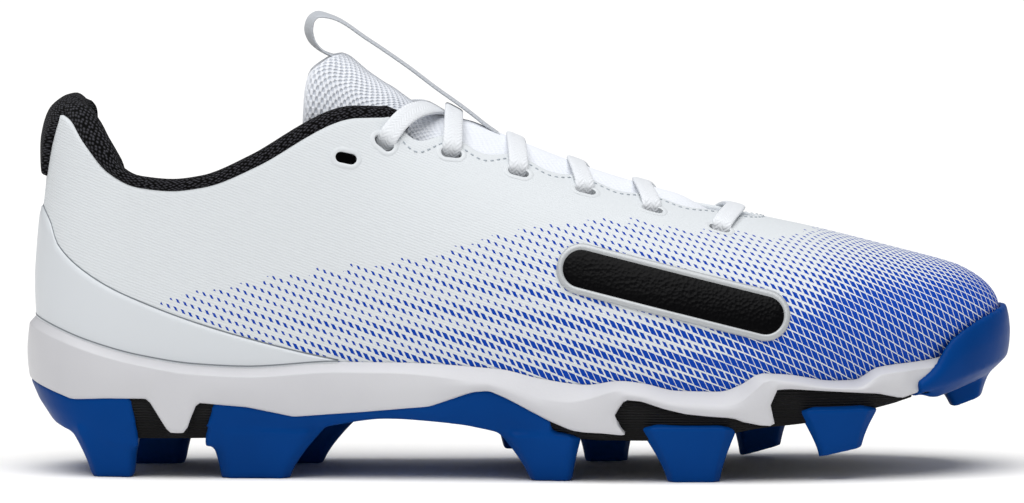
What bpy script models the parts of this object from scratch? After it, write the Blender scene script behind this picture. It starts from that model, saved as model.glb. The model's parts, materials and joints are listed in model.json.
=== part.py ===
"""Low-cut moulded football cleat, a right shoe standing on its studs.

Every size below is in millimetres and becomes metres when a mesh is made.
+X points to the toe, +Z up and -Y to the outer side of the foot. The floor is z = 0.
"""

import math
from collections import namedtuple

import bmesh
import bpy
import numpy as np
from mathutils import Vector

MM = 0.001
GAP = 0.3
OUTER, MIDDLE, INNER = -1, 0, 1

# Driving dimensions of the last
HEEL_CENTRE_X = -115.0
HEEL_POWER = 2.25
THROAT_END_X = 60.2
THROAT_ROUND = 11.0
BALL_X = 75.0
TOE_TIP_X = 145.6
TOE_POWER = 2.2
RIDGE_TURN_X = 127.0
RIDGE_POWER = 2.5
SECTION_POWER = 2.05
TUCK = 0.09
UPPER_WALL = 1.8

# One row for each section across the shoe. half_width is before the heel and toe are rounded off.
Section = namedtuple("Section", "x centre half_width footbed widest ridge plate_top plate_bottom")
SECTIONS = (
    Section(-146, 0.0, 33.5, 28.0, 57.0, 170.0, 21.0, 18.0),
    Section(-115, 0.0, 34.0, 26.5, 55.0, 166.0, 16.0, 12.0),
    Section(-90, -0.3, 35.8, 26.0, 52.0, 160.0, 16.3, 12.3),
    Section(-60, -1.5, 36.0, 25.3, 50.5, 146.0, 21.0, 18.0),
    Section(-40, -2.7, 36.8, 25.0, 49.5, 122.0, 23.0, 20.8),
    Section(-20, -3.7, 38.5, 24.0, 48.0, 108.5, 21.8, 19.5),
    Section(0, -4.0, 41.0, 22.5, 46.0, 99.5, 18.5, 15.8),
    Section(25, -3.1, 46.0, 20.5, 43.0, 90.0, 16.0, 12.6),
    Section(50, -1.0, 50.0, 20.0, 40.5, 82.8, 15.8, 12.6),
    Section(70, 0.5, 50.5, 21.3, 40.0, 77.8, 17.2, 14.4),
    Section(90, 2.0, 49.3, 24.5, 41.5, 73.4, 20.8, 18.0),
    Section(110, 3.2, 48.2, 28.5, 43.5, 68.3, 25.0, 22.2),
    Section(125, 3.7, 47.4, 32.0, 45.5, 64.4, 28.5, 25.8),
    Section(146, 4.0, 46.0, 38.0, 47.5, 59.0, 34.5, 32.0),
)

# Lines along the shoe, seen from the side
Line = namedtuple("Line", "x z")
HEEL_BACK = (
    Line(-144.5, 26), Line(-146.0, 47), Line(-146.4, 57), Line(-145.5, 72),
    Line(-143.6, 89), Line(-143.0, 100), Line(-142.0, 112),
)
COLLAR_EDGE = (
    Line(-143, 109.5), Line(-137, 107.0), Line(-131.5, 100.4), Line(-124.5, 91.8), Line(-115, 87.0),
    Line(-105, 86.0), Line(-95, 87.2), Line(-79, 93.5), Line(-64, 102.4), Line(-55, 106.5), Line(-40.8, 108.0),
)
INNER_COLLAR_DIP = (Line(-146, 0.0), Line(-134, 0.0), Line(-120, 5.5), Line(-62, 5.5), Line(-45, 0.0))
BITE_LINE = (
    Line(-146, 47.3), Line(-130, 41.2), Line(-114, 36.9), Line(-98, 34.5), Line(-82, 33.8), Line(-54, 35.5),
    Line(-38, 35.5), Line(-6, 33.8), Line(6, 31.1), Line(20, 29.4), Line(30, 30.7), Line(37, 30.0),
    Line(47, 27.8), Line(60, 27.5), Line(66, 29.0), Line(73, 32.1), Line(80, 32.0), Line(95, 30.2),
    Line(101, 30.4), Line(108, 34.1), Line(125, 35.9), Line(146, 41.0),
)
MIDSOLE_EDGE = (
    Line(-149, 29.4), Line(-143, 27.0), Line(-134, 23.7), Line(-124, 24.3), Line(-112, 24.3), Line(-105.5, 14.0),
    Line(-100.4, 14.0), Line(-97.2, 23.2), Line(-82, 21.9), Line(-68, 19.1), Line(-48, 20.6), Line(-27, 22.5),
    Line(-14, 27.0), Line(-9, 27.4), Line(-4, 25.3), Line(9, 18.6), Line(17, 15.3), Line(26.5, 14.4),
    Line(28, 19.5), Line(31.5, 25.2), Line(36.5, 24.8), Line(43, 22.6), Line(49.5, 21.0), Line(56, 20.3),
    Line(64, 19.7), Line(69, 17.3), Line(73.5, 17.4), Line(75.4, 21.0), Line(77.3, 27.8), Line(81, 28.2),
    Line(107, 26.4), Line(114, 24.8), Line(122, 26.8), Line(146, 35.0),
)
COUNTER_EDGE = (
    Line(-146, 80.0), Line(-143, 76.0), Line(-140, 69.5), Line(-130, 61.0), Line(-119, 55.0), Line(-95, 45.9),
    Line(-67, 38.2), Line(-55, 35.6),
)
TOE_WRAP_EDGE = (
    Line(119, 29.5), Line(124, 33.5), Line(128, 40.0), Line(134, 45.0), Line(141, 48.5), Line(146, 50.5),
)

# Sole
SOLE_LEDGE = 2.4
TOE_LEDGE = 0.9
MIDSOLE_CHAMFER = 2.3
MIDSOLE_BULGE = 0.7
SOLE_BAND = 6.0
PLATE_SHOWN_INSET = 0.6
PLATE_COVERED_INSET = 3.2
PLATE_SLOPE = 3.4
FRAME_WALL = 2.5
FRAME_FLOOR = 2.2
WRAP_WALL = 2.0
HEEL_CLEAT_END_X = -115.0
ARCH_FRAME_X = (-95.0, 10.0)
TOE_WRAP_X = 119.0
INSOLE_THICKNESS = 3.5

# Throat, eyelets and laces
EYELET_FIRST_X = 60.2
EYELET_PITCH = -20.2
EYELET_ROWS = 6
EYELET_SETBACK = (
    Line(-61, 4.5), Line(-40.8, 5.0), Line(-20.6, 4.6), Line(-0.4, 7.0), Line(19.8, 8.0),
    Line(40, 10.5), Line(60.2, 14.3),
)
EYELET_LENGTH = 6.9
EYELET_WIDTH = 3.8
LOCK_SLOT_X = -52.3
LOCK_SLOT_Z = 96.7
SCALLOP_DEPTH = 3.4
LAST_COLLAR_X = -40.8
THROAT_HALF = (Line(-45, 22.0), Line(-40, 21.5), Line(0, 14.5), Line(60, THROAT_ROUND))
LACE_WIDTH = 6.0
LACE_THICKNESS = 1.5
LACE_BOWS = (5.0, -3.5, -3.3, -1.5, 0.0, 13.0)

# Collar, tongue and pull loop
COLLAR_THICK = (Line(-146, 8.0), Line(-115, 7.0), Line(-40, 5.0))
COLLAR_TALL = (Line(-146, 5.0), Line(-128, 6.2), Line(-112, 3.6), Line(-40, 3.4))
HEEL_TAB_LOW_Z = 92.0
HEEL_TAB_THICKNESS = 1.8
COUNTER_THICKNESS = 0.8
COUNTER_END_X = -66.0
TONGUE_FRONT_X = 80.0
TONGUE_TOP_X = -54.5
TONGUE_THICKNESS = 4.0
TONGUE_INSET = (
    Line(-66, 15.0), Line(-54.5, 12.6), Line(-50.5, 10.0), Line(-46.5, 7.8), Line(-42, 5.4), Line(-37, 3.4),
    Line(-30, 2.6), Line(80, 2.8),
)
TONGUE_SIDE_DEG = (Line(-66, 42), Line(-45, 45), Line(-30, 56), Line(80, 70))
TONGUE_SWEEP = 12.0
LOOP_ROUTE = (
    Line(-56.4, 126.0), Line(-58.8, 126.7), Line(-61.2, 128.3), Line(-63.2, 130.8), Line(-64.0, 133.8),
    Line(-63.4, 136.6), Line(-61.0, 138.4), Line(-57.0, 137.6), Line(-46.0, 130.8), Line(-34.0, 122.6),
    Line(-25.0, 116.0), Line(-18.5, 112.3), Line(-13.4, 108.6), Line(-11.0, 105.0),
)
LOOP_WIDTH = 9.0
LOOP_THICKNESS = 1.1

# Plain side badge, a rounded bar
BADGE_X, BADGE_Z = 46.0, 57.0
BADGE_LENGTH, BADGE_WIDTH = 72.0, 15.0
BADGE_SLOPE_DEG = -14.0
BADGE_THICKNESS = 1.0

# Rib counts along one side, and rows up the wall
HEEL_RIBS = 6
HEEL_SIDE_XS = (-115.0, -110.0, -105.0, -100.0, -95.0, -90.0, -82.0, -74.0, -66.0, -58.0, -50.0, -45.0)
THROAT_RIBS_PER_EYELET = 4
TOE_RIBS = 14
WALL_ROWS = 5


# Curves read from the tables


def smooth(points):
    """A monotone cubic through (x, value) pairs, as a function of x that is flat beyond its ends."""
    xs, ys = (np.array(column, float) for column in zip(*points))
    steps = np.diff(ys) / np.diff(xs)
    slopes = np.concatenate([[steps[0]], np.zeros(len(xs) - 2), [steps[-1]]])
    for i in range(1, len(xs) - 1):
        if steps[i - 1] * steps[i] > 0:
            slopes[i] = 2 * steps[i - 1] * steps[i] / (steps[i - 1] + steps[i])

    def value(x):
        x = min(max(x, xs[0]), xs[-1])
        i = min(int(np.searchsorted(xs, x, side="right")) - 1, len(xs) - 2)
        span = xs[i + 1] - xs[i]
        t = (x - xs[i]) / span
        start = (1 + 2 * t) * (1 - t) ** 2 * ys[i] + t * (1 - t) ** 2 * span * slopes[i]
        return float(start + t * t * (3 - 2 * t) * ys[i + 1] + t * t * (t - 1) * span * slopes[i + 1])

    return value


def column(name):
    return smooth([(row.x, getattr(row, name)) for row in SECTIONS])


centre, footbed, widest, ridge = (column(name) for name in ("centre", "footbed", "widest", "ridge"))
half_width, plate_top, plate_bottom = (column(name) for name in ("half_width", "plate_top", "plate_bottom"))
heel_back = smooth([(row.z, row.x) for row in HEEL_BACK])
collar_edge, bite_line, counter_edge = smooth(COLLAR_EDGE), smooth(BITE_LINE), smooth(COUNTER_EDGE)
wrap_edge, throat_half = smooth(TOE_WRAP_EDGE), smooth(THROAT_HALF)
collar_thick, collar_tall = smooth(COLLAR_THICK), smooth(COLLAR_TALL)
collar_dip, eyelet_setback = smooth(INNER_COLLAR_DIP), smooth(EYELET_SETBACK)
tongue_inset, tongue_side = smooth(TONGUE_INSET), smooth(TONGUE_SIDE_DEG)


def midsole_edge(x):
    """Height of the midsole's lower edge, with straight runs so that its prongs stay sharp."""
    return float(np.interp(x, *zip(*MIDSOLE_EDGE)))


# The last


def rounded(share, power):
    return max(0.0, 1 - min(max(share, 0.0), 1.0) ** power) ** (1 / power)


def outline_half(x):
    return half_width(x) * rounded((x - BALL_X) / (TOE_TIP_X - BALL_X), TOE_POWER)


def ridge_line(x):
    turned = rounded((x - RIDGE_TURN_X) / (TOE_TIP_X - RIDGE_TURN_X), RIDGE_POWER)
    return widest(x) + (ridge(x) - widest(x)) * turned


def fullness(x, z):
    """Share of the half width that the section at x keeps at height z."""
    wide = widest(x)
    if z < wide:
        return 1 - TUCK * ((wide - z) / (wide - footbed(x))) ** 2
    return rounded((z - wide) / max(ridge_line(x) - wide, 1e-6), SECTION_POWER)


def height_at(x, y):
    """Height of the last's top surface over a point of its plan."""
    half = max(outline_half(x), 1e-6)
    return widest(x) + (ridge_line(x) - widest(x)) * rounded(abs(y - centre(x)) / half, SECTION_POWER)


def side_point(x, z, side):
    return np.array([x, centre(x) + side * outline_half(x) * fullness(x, z), z])


def top_point(x, y):
    return np.array([x, y, height_at(x, y)])


def unit(vector):
    return vector / np.linalg.norm(vector)


def top_normal(x, y):
    step = 0.5
    along = top_point(x + step, y) - top_point(x - step, y)
    across = top_point(x, y + step) - top_point(x, y - step)
    return unit(np.cross(along, across))


def side_normal(x, z, side):
    step = 0.5
    along = side_point(x + step, z, side) - side_point(x - step, z, side)
    upward = side_point(x, z + step, side) - side_point(x, z - step, side)
    return unit(np.cross(upward, along) * side)


def throat_edge(x):
    """Plan half width of the throat, which dips between one eyelet and the next."""
    turns = (x - EYELET_FIRST_X) / EYELET_PITCH
    return throat_half(x) + SCALLOP_DEPTH * (1 - math.cos(2 * math.pi * turns)) / 2


# Ribs: one line up the wall for each place round the foot


class Rib:
    """back and across are shares of the heel's round; turn is how far round the toe the rib lies, in radians."""

    def __init__(self, side, x, back=0.0, across=1.0, turn=0.0):
        self.side, self.x, self.back, self.across, self.turn = side, x, back, across, turn
        self.out = np.zeros(3)

    def wall(self, z):
        """The point of the upper's outer face at height z, up to the widest line at the toe."""
        x = self.x
        if self.back:
            x = HEEL_CENTRE_X - (HEEL_CENTRE_X - heel_back(z)) * self.back
        point = np.array([x, centre(x) + self.side * outline_half(x) * self.across, z])
        if self.turn:
            tucked = 1 - fullness(x, min(z, widest(x)))
            return point - self.out * tucked * half_width(x)
        point[1] = centre(x) + self.side * outline_half(x) * fullness(x, z) * self.across
        return point

    def base(self):
        return self.wall(widest(self.x))

    def collar_z(self, x):
        """Height of the collar edge, which is lower on the inner side of the foot."""
        return collar_edge(x) - (collar_dip(x) if self.side == INNER else 0.0)

    def top_z(self):
        """Height of the collar edge on ribs behind the throat, else of the throat's edge."""
        if self.back:
            x = HEEL_CENTRE_X - (HEEL_CENTRE_X - heel_back(COLLAR_EDGE[0].z)) * self.back
            return self.collar_z(x)
        if self.x <= LAST_COLLAR_X:
            return self.collar_z(self.x)
        return height_at(self.x, centre(self.x) + self.side * throat_edge(self.x))

    def upper_rows(self):
        """The rib's outer face from under the footbed's rim to the collar or throat edge."""
        wide = widest(self.x)
        rows = [self.wall(footbed(self.x) + GAP), self.wall(bite_line(self.x)), self.wall(wide)]
        if self.turn:
            base = self.base()
            end_x = THROAT_END_X + (THROAT_ROUND + 1) * math.sin(self.turn)
            end = np.array([end_x, centre(end_x) + self.side * THROAT_ROUND * math.cos(self.turn)])
            for i in range(1, WALL_ROWS + 1):
                share = 1 - math.cos(i / WALL_ROWS * math.pi / 2)
                rows.append(top_point(*(base[:2] + (end - base[:2]) * share)))
            return rows
        rise = (self.top_z() - wide) / (ridge_line(self.x) - wide)
        steepest = math.asin(min(rise, 1) ** (SECTION_POWER / 2))
        for i in range(1, WALL_ROWS + 1):
            lift = math.sin(steepest * i / WALL_ROWS) ** (2 / SECTION_POWER)
            rows.append(self.wall(wide + (ridge_line(self.x) - wide) * lift))
        return rows


def side_ribs(side):
    """The ribs of one side, from the middle of the heel to the middle of the toe."""
    ribs = []
    for i in range(HEEL_RIBS):
        angle = math.pi / 2 * i / HEEL_RIBS
        back, across = math.cos(angle) ** (2 / HEEL_POWER), math.sin(angle) ** (2 / HEEL_POWER)
        x = HEEL_CENTRE_X - (HEEL_CENTRE_X - heel_back(SECTIONS[0].widest)) * back
        ribs.append(Rib(side, x, back=back, across=across))
    step = -EYELET_PITCH / THROAT_RIBS_PER_EYELET
    throat_xs = np.arange(LAST_COLLAR_X, THROAT_END_X + 0.1, step)
    for x in (*HEEL_SIDE_XS, *throat_xs):
        ribs.append(Rib(side, float(x)))
    for i in range(1, TOE_RIBS + 1):
        turn = math.pi / 2 * i / TOE_RIBS
        ribs.append(Rib(side, THROAT_END_X + (TOE_TIP_X - THROAT_END_X) * math.sin(turn), turn=turn))
    return ribs


def make_ribs():
    """Outer and inner ribs in pairs, and one loop of all of them with their outward directions set."""
    outer, inner = side_ribs(OUTER), side_ribs(INNER)
    inner[0], inner[-1] = outer[0], outer[-1]
    loop = outer + inner[-2:0:-1]
    bases = [rib.base() for rib in loop]
    for i, rib in enumerate(loop):
        along = bases[(i + 1) % len(loop)] - bases[i - 1]
        rib.out = unit(np.array([along[1], -along[0], 0.0]))
    return outer, inner, loop


OUTER_RIBS, INNER_RIBS, RIB_LOOP = make_ribs()
PAIRS = list(zip(OUTER_RIBS, INNER_RIBS))


def pairs_between(start, end):
    return [pair for pair in PAIRS if start - 0.1 <= pair[0].x <= end + 0.1]


def band(rib, z, out):
    """A point at height z, that far outside the upper's widest outline."""
    point = rib.base() + rib.out * out
    point[2] = z
    return point


def ledge(x):
    """How far the sole stands outside the upper: less at the toe, where the wrap covers it."""
    return float(np.interp(x, [TOE_WRAP_X - 5, TOE_WRAP_X], [SOLE_LEDGE, TOE_LEDGE]))


def midsole_underside(rib, inset):
    """Height of the midsole's underside at a distance in from its outer edge."""
    edge = midsole_edge(rib.base()[0])
    return edge + (plate_top(rib.x) - edge) * min(inset / SOLE_BAND, 1)


# Mesh helpers


def finish(name, colour, roughness, metallic=0.0):
    material = bpy.data.materials.new(name)
    material.use_nodes = True
    shader = material.node_tree.nodes["Principled BSDF"]
    shader.inputs["Base Color"].default_value = (*colour, 1)
    shader.inputs["Roughness"].default_value = roughness
    shader.inputs["Metallic"].default_value = metallic
    return material


WHITE_KNIT = finish("white_knit", (0.83, 0.85, 0.87), 0.7)
WHITE_SKIN = finish("white_skin", (0.80, 0.82, 0.84), 0.45)
WHITE_FOAM = finish("white_foam", (0.84, 0.84, 0.86), 0.5)
WHITE_WEBBING = finish("white_webbing", (0.82, 0.83, 0.86), 0.8)
BLACK_MESH = finish("black_mesh", (0.012, 0.012, 0.013), 0.8)
BLACK_RUBBER = finish("black_rubber", (0.016, 0.016, 0.017), 0.6)
BLUE_PLASTIC = finish("blue_plastic", (0.006, 0.085, 0.36), 0.35)
BLACK_PLASTIC = finish("black_plastic", (0.01, 0.01, 0.011), 0.3)
GREY_FOAM = finish("grey_foam", (0.45, 0.46, 0.48), 0.9)


def add_object(name, points, faces, material=None):
    """A closed mesh object, its coincident points joined and its faces turned outwards. No material marks a cutter."""
    mesh = bpy.data.meshes.new(name)
    mesh.from_pydata([Vector(p) * MM for p in points], [], faces)
    work = bmesh.new()
    work.from_mesh(mesh)
    bmesh.ops.remove_doubles(work, verts=work.verts, dist=1e-6)
    bmesh.ops.recalc_face_normals(work, faces=work.faces)
    work.to_mesh(mesh)
    work.free()
    mesh.shade_smooth()
    mesh.set_sharp_from_angle(angle=math.radians(35))
    obj = bpy.data.objects.new(name, mesh)
    bpy.context.scene.collection.objects.link(obj)
    if material:
        mesh.materials.append(material)
        obj.parent = SHOE
    else:
        obj.hide_render = True
        obj.display_type = "WIRE"
    return obj


def loft(name, rings, material=None, around=False, capped=(True, True), split=False):
    """A solid through rings of equal length: closed on itself, or capped at the ends that aren't a line.

    split cuts each four-sided face along a set diagonal, so that a cutter's faces run with its original's.
    """
    count = len(rings[0])
    points = [p for ring in rings for p in ring]
    spans = len(rings) if around else len(rings) - 1
    faces = []
    for i in range(spans):
        here, there = i * count, (i + 1) % len(rings) * count
        for j in range(count):
            k = (j + 1) % count
            faces.append((here + j, here + k, there + k, there + j))
    for wanted, first in zip(capped, (0, len(points) - count)):
        if wanted and not around:
            last = first + count - 1
            faces += [(first + j, first + j + 1, last - j - 1, last - j) for j in range(count // 2 - 1)]
    if split:
        faces = [corners for a, b, c, d in faces for corners in ((a, b, c), (a, c, d))]
    return add_object(name, points, faces, material)


def boolean(target, other, operation):
    modifier = target.modifiers.new(operation.lower(), "BOOLEAN")
    modifier.operation = operation
    modifier.object = other


def patch(name, rows, normals, low, high, material):
    """A thin panel: a grid of surface points, lifted to two heights along their normals."""
    across = len(rows[0])
    rings = []
    for row, row_normals in zip(rows, normals):
        outer = [p + n * high for p, n in zip(row, row_normals)]
        inner = [p + n * low for p, n in zip(row, row_normals)]
        rings.append(outer + inner[::-1])
    return loft(name, rings, material) if across > 1 else None


# Upper


def grid_normals(grid):
    """Outward normals of a grid of ribs that closes on itself."""
    points = np.array(grid)
    around = np.roll(points, -1, axis=0) - np.roll(points, 1, axis=0)
    upward = np.gradient(points, axis=1)
    normals = np.cross(around, upward)
    return normals / np.linalg.norm(normals, axis=2, keepdims=True)


UPPER_OUTER = np.array([rib.upper_rows() for rib in RIB_LOOP])
UPPER_NORMALS = grid_normals(UPPER_OUTER)
UPPER_INNER = UPPER_OUTER - UPPER_NORMALS * UPPER_WALL


def slot_cutter(name, point, normal, along):
    """A round-ended bar that stands through the wall."""
    along = unit(along - normal * np.dot(along, normal))
    across = np.cross(normal, along)
    reach, end_steps = 6.0, 4
    straight = (EYELET_LENGTH - EYELET_WIDTH) / 2
    ring = []
    for end in (1, -1):
        for i in range(end_steps + 1):
            angle = math.pi * (i / end_steps - 0.5)
            offset = along * (straight + EYELET_WIDTH / 2 * math.cos(angle)) + across * EYELET_WIDTH / 2 * math.sin(angle)
            ring.append(point + offset * end)
    return loft(name, [[p - normal * reach for p in ring], [p + normal * reach for p in ring]])


def eyelet_place(row, side):
    x = EYELET_FIRST_X + EYELET_PITCH * row
    return x, centre(x) + side * (throat_half(x) + eyelet_setback(x))


def build_upper():
    rings = [list(outer) + list(inner[::-1]) for outer, inner in zip(UPPER_OUTER, UPPER_INNER)]
    upper = loft("upper", rings, WHITE_KNIT, around=True)
    for side, word in ((OUTER, "outer"), (INNER, "inner")):
        for row in range(EYELET_ROWS):
            x, y = eyelet_place(row, side)
            next_x, next_y = eyelet_place(row + 1, side)
            along = top_point(next_x, next_y) - top_point(x, y)
            cutter = slot_cutter(f"cut_{word}_{row}", top_point(x, y), top_normal(x, y), along)
            boolean(upper, cutter, "DIFFERENCE")
        lock = side_point(LOCK_SLOT_X, LOCK_SLOT_Z, side)
        cutter = slot_cutter(
            f"cut_{word}_lock", lock, side_normal(LOCK_SLOT_X, LOCK_SLOT_Z, side), np.array([1.0, 0.0, -0.2])
        )
        boolean(upper, cutter, "DIFFERENCE")


def build_collar():
    """The padded black roll on the collar edge, from one front corner round the heel to the other."""
    sides = 8
    order = [i for i, rib in enumerate(RIB_LOOP) if not rib.turn and rib.x <= LAST_COLLAR_X]
    first = next(i for i in order if i - 1 not in order and i > 0)
    order = [i for i in order if i >= first] + [i for i in order if i < first]
    rings = []
    for i in order:
        edge = UPPER_OUTER[i][-1]
        along = unit(UPPER_OUTER[(i + 1) % len(RIB_LOOP)][-1] - UPPER_OUTER[i - 1][-1])
        inward = UPPER_NORMALS[i][-1] * -1
        upward = np.cross(inward, along)
        upward = unit(upward * np.sign(upward[2]))
        inward = unit(inward - along * np.dot(inward, along))
        thick, tall = collar_thick(edge[0]), collar_tall(edge[0])
        middle = edge + inward * (thick / 2 - 0.2) + upward * (GAP + tall / 2)
        rings.append([
            middle
            + inward * thick / 2 * math.cos(2 * math.pi * (j + 0.5) / sides) / math.cos(math.pi / sides)
            + upward * tall / 2 * math.sin(2 * math.pi * (j + 0.5) / sides) / math.cos(math.pi / sides)
            for j in range(sides)
        ])
    loft("collar_roll", rings, BLACK_MESH)


def heel_first(ribs_kept):
    """Loop indices of ribs round the heel, from the inner side to the outer side."""
    kept = [i for i, rib in enumerate(RIB_LOOP) if ribs_kept(rib)]
    return [i for i in kept if i > len(RIB_LOOP) // 2] + [i for i in kept if i <= len(RIB_LOOP) // 2]


def wall_panel(name, indices, low_z, high_z, rows, thickness, material):
    """A panel that lies on the upper round the heel, between two heights given for each rib."""
    grid, normals = [], []
    for i in indices:
        rib = RIB_LOOP[i]
        heights = np.linspace(low_z(rib), high_z(rib), rows)
        grid.append([rib.wall(z) for z in heights])
        normals.append([rib.out] * rows)
    return patch(name, grid, normals, GAP, GAP + thickness, material)


def build_heel_pieces():
    counter = heel_first(lambda rib: not rib.turn and rib.x <= COUNTER_END_X)
    wall_panel(
        "heel_counter", counter, lambda rib: bite_line(rib.x) + GAP, lambda rib: counter_edge(rib.base()[0]),
        4, COUNTER_THICKNESS, WHITE_SKIN,
    )
    tab = heel_first(lambda rib: rib.back > 0.86)
    wall_panel(
        "heel_tab", tab, lambda rib: HEEL_TAB_LOW_Z, lambda rib: collar_edge(rib.x) + COLLAR_TALL[0].z,
        5, HEEL_TAB_THICKNESS, BLACK_MESH,
    )


# Tongue, pull loop and laces


def tongue_point(x, angle, depth):
    """A point under the last's surface: angle runs across the foot, 90 degrees at the ridge."""
    inset = tongue_inset(x) + depth
    rise = ridge_line(x) - widest(x) - inset
    across = outline_half(x) - inset
    y = centre(x) - across * math.copysign(abs(math.cos(angle)) ** (2 / SECTION_POWER), math.cos(angle))
    return np.array([x, y, widest(x) + rise * math.sin(angle) ** (2 / SECTION_POWER)])


def build_tongue():
    steps, across = 13, 6
    rings = []
    for i in range(steps + 1):
        outer, inner = [], []
        for j in range(across + 1):
            swing = 2 * j / across - 1
            end_x = TONGUE_TOP_X - TONGUE_SWEEP * swing * swing
            x = TONGUE_FRONT_X + (end_x - TONGUE_FRONT_X) * i / steps
            angle = math.pi / 2 + swing * (math.pi / 2 - math.radians(tongue_side(x)))
            outer.append(tongue_point(x, angle, 0))
            inner.append(tongue_point(x, angle, TONGUE_THICKNESS))
        rings.append(outer + inner[::-1])
    loft("tongue", rings, WHITE_KNIT)


def ribbon(name, route, normals, width, thickness, material=None):
    """A flat strip along a route of points, facing its normals."""
    rings = []
    for i, point in enumerate(route):
        along = unit(route[min(i + 1, len(route) - 1)] - route[max(i - 1, 0)])
        across = unit(np.cross(normals[i], along)) * width / 2
        lift = unit(np.cross(along, across)) * thickness / 2
        rings.append([point + across + lift, point + across - lift, point - across - lift, point - across + lift])
    return loft(name, rings, material)


def build_pull_loop():
    route = [np.array([row.x, centre(-40), row.z]) for row in LOOP_ROUTE]
    normals = []
    for i in range(len(route)):
        along = route[min(i + 1, len(route) - 1)] - route[max(i - 1, 0)]
        normals.append(np.cross(along, [0.0, 1.0, 0.0]))
    ribbon("tongue_pull_loop", route, normals, LOOP_WIDTH, LOOP_THICKNESS, WHITE_WEBBING)


def build_laces():
    """One flat bar across the throat for each pair of eyelets. Its middle bows toward the toe by its own amount."""
    points = 9
    lift = GAP + LACE_THICKNESS / 2 + 0.4
    for row, bow in enumerate(LACE_BOWS):
        start, end = (np.array(eyelet_place(row, side)) for side in (OUTER, INNER))
        route, normals = [], []
        for i in range(points):
            x, y = start + (end - start) * i / (points - 1)
            x += bow * (1 - abs(2 * i / (points - 1) - 1) ** 1.6)
            normals.append(top_normal(x, y))
            route.append(top_point(x, y) + normals[-1] * lift)
        ribbon(f"lace_bar_{row + 1}", route, normals, LACE_WIDTH, LACE_THICKNESS, WHITE_WEBBING)


# Sole


def midsole_rings(clearance=0.0):
    """The midsole's sections. With a clearance they are grown and filled in, to cut its neighbours."""
    rings = []
    for pair in PAIRS:
        chains = []
        for rib in pair:
            x, out = rib.base()[0], ledge(rib.base()[0]) + clearance
            edge, bite = midsole_edge(x), bite_line(rib.x)
            chain = [
                band(rib, edge - clearance, out),
                band(rib, edge + (bite - edge) * 0.5, out + MIDSOLE_BULGE * ledge(x) / SOLE_LEDGE),
                band(rib, bite - MIDSOLE_CHAMFER, out),
            ]
            if clearance:
                chain.append(band(rib, bite + 15, out))
            else:
                chain += [rib.wall(bite) + rib.out * GAP, rib.wall(footbed(rib.x)) + rib.out * GAP]
            chains.append(chain)
        bed = (chains[0][-1] + chains[1][-1]) / 2
        under = [band(rib, plate_top(rib.x) - clearance, ledge(rib.base()[0]) - SOLE_BAND) for rib in pair]
        rings.append(chains[0] + [bed] + chains[1][::-1] + [under[1], (under[0] + under[1]) / 2, under[0]])
    return rings


def heel_slope(rib):
    """Extra slope of the sole's side at the back of the heel."""
    return 4.0 * rib.back ** 4


def plate_inset(rib):
    """The black plate reaches the side of the sole only where no blue piece covers it."""
    x = rib.base()[0]
    covered = x <= HEEL_CLEAT_END_X + 0.1 or ARCH_FRAME_X[0] - 0.1 <= x <= ARCH_FRAME_X[1] + 0.1
    return PLATE_COVERED_INSET + heel_slope(rib) / 2 if covered or x >= TOE_WRAP_X else PLATE_SHOWN_INSET


def plate_rings(clearance, rise):
    """The plate's sections up into the midsole, which trims them, grown by a clearance to cut the blue pieces."""
    rings = []
    for pair in PAIRS:
        chains = []
        for rib in pair:
            x, out = rib.base()[0], ledge(rib.base()[0])
            inset = plate_inset(rib)
            rim = max(midsole_edge(x), plate_bottom(rib.x) + 1)
            chains.append([
                band(rib, plate_bottom(rib.x) - clearance, out - inset - PLATE_SLOPE + clearance),
                band(rib, rim, out - inset + clearance),
                band(rib, rim + rise, out - inset + clearance),
                band(rib, plate_top(rib.x) + rise, out - SOLE_BAND),
            ])
        over, under = (chains[0][3] + chains[1][3]) / 2, (chains[0][0] + chains[1][0]) / 2
        rings.append(chains[0] + [over] + chains[1][::-1] + [under])
    return rings


def frame(name, pairs, closed_start, closed_end):
    """A blue tray round the plate: walls up to the midsole's edge and a floor under it."""
    rings = []
    for pair in pairs:
        outer, inner = [], []
        for rib in pair:
            x, out = rib.base()[0], ledge(rib.base()[0])
            high, floor = midsole_edge(x) + 1, plate_bottom(rib.x) + 1.5
            low = plate_bottom(rib.x) - GAP - FRAME_FLOOR
            taper = 3.0 + heel_slope(rib)
            share = (high - floor) / (high - low)
            outer.append([band(rib, high, out), band(rib, low, out - taper)])
            inner.append([
                band(rib, midsole_underside(rib, FRAME_WALL) + 1, out - FRAME_WALL),
                band(rib, floor, out - FRAME_WALL - taper * share),
            ])
        below, above = (outer[0][1] + outer[1][1]) / 2, (inner[0][1] + inner[1][1]) / 2
        rings.append(outer[0] + [below] + outer[1][::-1] + inner[1] + [above] + inner[0][::-1])
    return loft(name, rings, BLUE_PLASTIC, capped=(not closed_start, not closed_end), split=True)


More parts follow.
